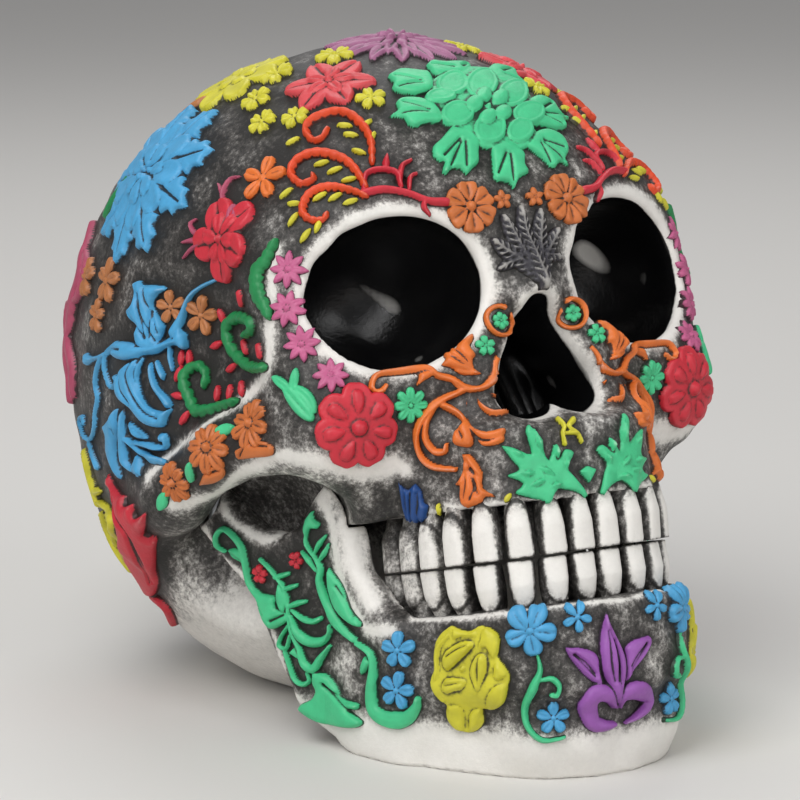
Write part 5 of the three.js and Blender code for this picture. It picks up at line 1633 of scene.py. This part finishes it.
# Painted shade under the cheek, in the cheek hollow and in the temple.
SKULL_PAINTED_SHADE = {
    "under the cheek": (4.0, [(384, 492), (388, 505), (392, 518)]),
    "cheek hollow": (5.0, [(346, 489), (353, 505), (360, 518), (374, 519), (388, 517)]),
    "temple": (9.0, [(255, 290), (235, 340), (205, 380), (170, 420)]),
}
JAW_BARE = {
    "front ridge": (2.2, [
        (313, 490), (320, 500), (331, 520), (336, 557), (343, 585), (356, 611), (368, 629), (393, 631)]),
    "front face": (4.5, [(343, 500), (350, 536), (358, 575), (371, 603)]),
    "rear edge": (1.2, [
        (206, 530), (218, 552), (247, 581), (262, 608), (272, 628), (283, 664), (293, 692), (310, 714)]),
    "notch edge": (1.6, [
        (223, 507), (234, 523), (260, 538), (273, 538), (290, 527), (300, 505), (303, 490)]),
    "gum edge": (1.3, [(413, 619), (450, 618), (505, 613), (544, 608), (591, 602), (630, 599), (664, 595)]),
}
LINE_STEPS = 14  # samples between two pixels of a line


def along_lines(points, field, lines):
    """Nearness to lines seen in the photograph, and to their mirror images, from 0 to 1."""
    right = points * np.where(points[:, :1] > 0, (-1, 1, 1), (1, 1, 1))
    share = np.zeros(len(points))
    for half, pixels in lines.values():
        run = seen(field, smooth_line(pixels, LINE_STEPS))
        share = np.maximum(share, np.exp(-(gap_to(right, run[np.abs(field(run.T)) < 1]) / half) ** 2))
    return share


# Wash and painted shade on the castings, from 0 for wiped white to 1 for dark, and where they change over.
FEET_REACH = 2.2  # how far the wash and painted shade round a relief's foot spread
FEET_WASH_AND_SHADE = 0.5
BARE_LINES = 0.95
PAINTED_SHADE_LINES = 0.9
BACK_WASH = 0.7
FACE_LESS = 0.26
FACE_FADE = (25, 50)
BELOW_WASH = 0.12
BELOW_FADE = (-52, -36)
SKULL_RIDGES = 0.55
SKULL_RIDGE_FADE = (0.25, 0.9)
SKULL_CREASES = 0.35
CREASE_FADE = (0.2, 0.9)
LEAST_WASH = 0.02
EYE_RIM_FADE = (1.5, 5.5)
NOSE_RIM_WASH = 0.25
NOSE_RIM_FADE = (0.8, 2.6)
EYE_LACQUER_FADE = (-1.2, 0.4)
NOSE_LACQUER_FADE = (-1.0, 0.4)
JAW_WASH = 0.44
JAW_LEAST = 0.04
JAW_FOOT_FADE = (8, 15)
JAW_RIDGES = 0.5
JAW_RIDGE_FADE = (0.35, 1.0)
JAW_CREASES = 0.4
GUM_WASH_AND_SHADE = 0.25
GUM_WIDE = 5


# Darker round the reliefs' feet, partly wash and partly painted shade.
def round_reliefs(points):
    return FEET_WASH_AND_SHADE * np.exp(-gap_to(points, np.concatenate(foot_points)) / FEET_REACH)


def skull_wash_and_shade(points):
    head = in_head(points.T)
    bend = bend_of(skull_field, points)
    face = fade(-points[:, 1], *FACE_FADE)
    zone = np.maximum(fade(head[2], *BELOW_FADE), face)
    wash_and_shade = zone * (BACK_WASH - FACE_LESS * face + round_reliefs(points)) + (1 - zone) * BELOW_WASH
    # Ridges paler where the wash was wiped off; hollows darker, partly wash and partly painted shade.
    wash_and_shade = wash_and_shade - SKULL_RIDGES * fade(bend, *SKULL_RIDGE_FADE) + SKULL_CREASES * fade(-bend, *CREASE_FADE)
    # Painted shade along the lines under the cheek, in the cheek hollow and in the temple.
    wash_and_shade = np.maximum(wash_and_shade, PAINTED_SHADE_LINES * along_lines(points, skull_field, SKULL_PAINTED_SHADE))
    eye, nose = eye_field(head), nose_field(head)
    wash_and_shade = wash_and_shade * fade(eye, *EYE_RIM_FADE) + LEAST_WASH
    wash_and_shade = wash_and_shade * (NOSE_RIM_WASH + (1 - NOSE_RIM_WASH) * fade(nose, *NOSE_RIM_FADE))
    wash_and_shade = wash_and_shade * (1 - BARE_LINES * along_lines(points, skull_field, SKULL_BARE))
    enamel = np.maximum(fade(-eye, *EYE_LACQUER_FADE), fade(-nose, *NOSE_LACQUER_FADE))
    return {"wash_and_shade": wash_and_shade, "enamel": enamel}


def jaw_wash_and_shade(points):
    bend = bend_of(jaw_field, points)
    wash_and_shade = fade(points[:, 2], *JAW_FOOT_FADE) * (JAW_WASH + round_reliefs(points)) + JAW_LEAST
    # Ridges paler where the wash was wiped off; hollows darker, partly wash and partly painted shade.
    wash_and_shade = wash_and_shade - JAW_RIDGES * fade(bend, *JAW_RIDGE_FADE) + JAW_CREASES * fade(-bend, *CREASE_FADE)
    # Darker up to the gum line under the lower teeth, partly wash and partly painted shade.
    gum = fade(in_bite(points.T)[2], -CROWN_LOWER - GUM_WIDE, -CROWN_LOWER)
    wash_and_shade = (wash_and_shade + GUM_WASH_AND_SHADE * gum) * (1 - BARE_LINES * along_lines(points, jaw_field, JAW_BARE))
    return {"wash_and_shade": wash_and_shade, "enamel": np.zeros(len(points))}


# Boxes that the castings are sampled in, a little larger than they are.
SKULL_BOX = ((-79.8, -112, -1.8), (79.8, 112, 170))
JAW_BOX = ((-66, -108, -1.5), (66, 14, 76))
skull_points, skull_faces = skin(skull_skin, *SKULL_BOX, SKULL_CELL)
mesh_piece("skull_casting", skull_points, skull_faces.tolist(), RESIN, skull_wash_and_shade(skull_points),
           "skull_shell")
jaw_points, jaw_faces = skin(jaw_skin, *JAW_BOX, JAW_CELL)
mesh_piece("jaw_casting", jaw_points, jaw_faces.tolist(), RESIN, jaw_wash_and_shade(jaw_points),
           "lower_jaw")

# Teeth: crowns lofted from the gum to the bite, darkened where they meet and round their gum ends, partly
# by wash and partly by painted shade.
CROWN_STEPS = 30
CROWN_SIDES = 36
SECTION_POWER = 2.8
TOOTH_HALF = 0.49  # half width of a crown against its pitch
ROOT_INSET = 0.7
# For each tooth from the middle: part of its length left white, and the wash and painted shade on that
# part; the painted shade deepens on the rear teeth.
CROWN_SHOWN = (0.97, 0.93, 0.95, 0.97, 0.84, 0.78, 0.72, 0.68)
CROWN_PAINTED_SHADE = (0.04, 0.04, 0.04, 0.04, 0.06, 0.14, 0.32, 0.5)
# Width of a crown over its rise from the bite, then thickness and lean over its length from the gum.
CROWN_RISES = (0, 0.05, 0.45, 0.8, 1)
CROWN_WIDTHS = (0.86, 0.98, 0.94, 0.8, 0.62)
CROWN_PARTS = (0, 0.5, 1)
FRONT_THICK = np.array([3.6, 3.9, 2.2])
MOLAR_THICKER = np.array([0, 0.5, 1.6])
CROWN_LEANS = (0.4, 1.3, 2.2)
FRONT_TEETH = 2
MOLAR_FROM = 3  # teeth from the last front tooth to the first full molar
# The white part ends in an arc, lower at its sides; wash on roots, sides, that edge, the bite and the ends,
# with painted shade on the sides and the bite where the crowns meet.
WHITE_ARC = 0.42
WHITE_ARC_POWER = 2.4
ROOT_FADE = (-0.02, 0.1)
ROOT_WASH = 0.45
NECK_FADE = (-0.3, 0.0)
NECK_WASH = 0.3
SIDE_FADE = (0.72, 0.96)
SIDE_WASH_AND_SHADE = 0.8
RIM_HALF = 0.06
RIM_WASH = 0.95
BITE_FADE = (0.95, 1.0)
BITE_WASH_AND_SHADE = 0.5
END_WASH = (0.9, 0.5)
CIRCLE = np.linspace(0, 2 * math.pi, CROWN_SIDES, endpoint=False)


def squared(wave):
    return np.sign(wave) * np.abs(wave) ** (2 / SECTION_POWER)


def crown(spot, along, gum, edge, place):
    """Points and wash of one crown, with painted shade that deepens the farther back it stands; the farther
    back it stands, the thicker it is.
    """
    molar = min(max(place - FRONT_TEETH, 0) / MOLAR_FROM, 1)
    half = TOOTH_HALF * TOOTH_PITCH
    rows, wash_and_shade = [], []
    for part in np.linspace(0, 1, CROWN_STEPS):
        rise = 1 - part
        taper = np.interp(rise, CROWN_RISES, CROWN_WIDTHS)
        wide = half * taper * squared(np.cos(CIRCLE))
        off = np.abs(wide) / half
        past = rise - CROWN_SHOWN[place] * (1 - WHITE_ARC * off ** WHITE_ARC_POWER)
        root = fade(past, *ROOT_FADE)
        half_thick = np.interp(part, CROWN_PARTS, FRONT_THICK + molar * MOLAR_THICKER)
        thick = half_thick * squared(np.sin(CIRCLE)) - np.interp(part, CROWN_PARTS, CROWN_LEANS)
        thick = thick + ROOT_INSET * root * (np.sin(CIRCLE) < 0)
        x = spot[0] + along[0] * wide - along[1] * thick
        back = spot[1] + along[1] * wide + along[0] * thick
        rows.append(from_bite(x, back, np.full(CROWN_SIDES, gum + part * (edge - gum))))
        wash_and_shade.append(np.maximum.reduce([
            # painted shade on the rear crowns, with wash towards the neck
            CROWN_PAINTED_SHADE[place] + NECK_WASH * fade(past, *NECK_FADE),
            ROOT_WASH * root,
            # wash and painted shade at the sides and the bite, where the crowns meet
            SIDE_WASH_AND_SHADE * fade(off / taper, *SIDE_FADE),
            RIM_WASH * np.exp(-(past / RIM_HALF) ** 2),
            np.full(CROWN_SIDES, BITE_WASH_AND_SHADE * fade(part, *BITE_FADE))]))
    points = np.concatenate([*rows, rows[0].mean(0)[None], rows[-1].mean(0)[None]])
    return points, np.concatenate([*wash_and_shade, END_WASH])


def crown_faces():
    n = CROWN_SIDES
    faces = [(r * n + k, r * n + (k + 1) % n, (r + 1) * n + (k + 1) % n, (r + 1) * n + k)
             for r in range(CROWN_STEPS - 1) for k in range(n)]
    first, last = CROWN_STEPS * n, (CROWN_STEPS - 1) * n
    caps = [(first, (k + 1) % n, k) for k in range(n)]
    return faces + caps + [(first + 1, last + k, last + (k + 1) % n) for k in range(n)]


def tooth_row(name, spots, gum, edge):
    """All crowns of one row as one piece."""
    points, faces, wash_and_shade = [], [], []
    single = crown_faces()
    for n, (spot, along) in enumerate(spots):
        for sign in (1, -1):
            made, dark = crown(spot, along, gum, edge, n)
            flip = (sign > 0) != (edge > gum)
            base = sum(len(p) for p in points)
            points.append(made * (sign, 1, 1))
            wash_and_shade.append(dark)
            faces += [tuple(base + v for v in (face[::-1] if flip else face)) for face in single]
    values = np.concatenate(wash_and_shade)
    mesh_piece(name + "_crowns", np.concatenate(points), faces, TOOTH,
               {"wash_and_shade": values, "enamel": 0 * values}, name)


# The rows reach into the gums and leave a line of shadow at the bite.
UPPER_ROOT = 1.5
LOWER_ROOT = 1
BITE_GAP = 0.3
tooth_row("upper_teeth", UPPER_SPOTS, CROWN_UPPER + UPPER_ROOT, BITE_GAP)
tooth_row("lower_teeth", LOWER_SPOTS, -CROWN_LOWER - LOWER_ROOT, -BITE_GAP)

# Floor, light and camera.
FLOOR_HALF = 3.0
FLOOR_COLOUR = "d9d7d3"
FLOOR_ROUGHNESS = 0.7
STUDIO_COLOUR = "e4e4e6"
STUDIO_STRENGTH = 0.42
LAMPS = {  # turn and rise in degrees, distance and size in metres, watts
    "key_softbox": (-60, 50, 1.1, 0.7, 7.5),
    "glint_softbox": (-54, 20, 0.9, 0.14, 0.8),
    "fill_softbox": (15, 25, 1.3, 0.9, 4),
    "rim_softbox": (150, 50, 1.3, 0.8, 5),
}
scene = bpy.context.scene
scene.view_settings.view_transform = "Standard"


def floor():
    mesh = bpy.data.meshes.new("floor")
    corners = [(x * FLOOR_HALF, y * FLOOR_HALF, 0) for x, y in ((-1, -1), (1, -1), (1, 1), (-1, 1))]
    mesh.from_pydata(corners, [], [(0, 1, 2, 3)])
    material, _, shader, _ = new_material("pale_floor")
    shader.inputs["Base Color"].default_value = linear(FLOOR_COLOUR)
    shader.inputs["Roughness"].default_value = FLOOR_ROUGHNESS
    mesh.materials.append(material)
    piece = bpy.data.objects.new("floor", mesh)
    scene.collection.objects.link(piece)


def lamp(name, turn, rise, distance, size, power):
    """A softbox that looks at the figurine's middle."""
    back, _, _ = turned_axes(turn, rise)
    data = bpy.data.lights.new(name, "AREA")
    data.size = size
    data.energy = power
    holder = bpy.data.objects.new(name, data)
    holder.location = Vector(back) * distance + Vector((0, 0, VIEW_TARGET[2] / 1000))
    holder.rotation_euler = (-Vector(back)).to_track_quat("-Z", "Y").to_euler()
    scene.collection.objects.link(holder)


floor()
for name, setting in LAMPS.items():
    lamp(name, *setting)
world = bpy.data.worlds.new("studio")
world.use_nodes = True
background = world.node_tree.nodes["Background"]
background.inputs["Color"].default_value = linear(STUDIO_COLOUR)
background.inputs["Strength"].default_value = STUDIO_STRENGTH
scene.world = world

camera_data = bpy.data.cameras.new("camera")
camera_data.sensor_width = SENSOR
camera_data.lens = SENSOR * VIEW_FOCAL / (2 * VIEW_HALF)
camera = bpy.data.objects.new("camera", camera_data)
camera.location = Vector(to_frame(VIEW_TARGET + VIEW_BACK * VIEW_DISTANCE))
camera.rotation_euler = (-Vector(VIEW_BACK)).to_track_quat("-Z", "Y").to_euler()
scene.collection.objects.link(camera)
scene.camera = camera
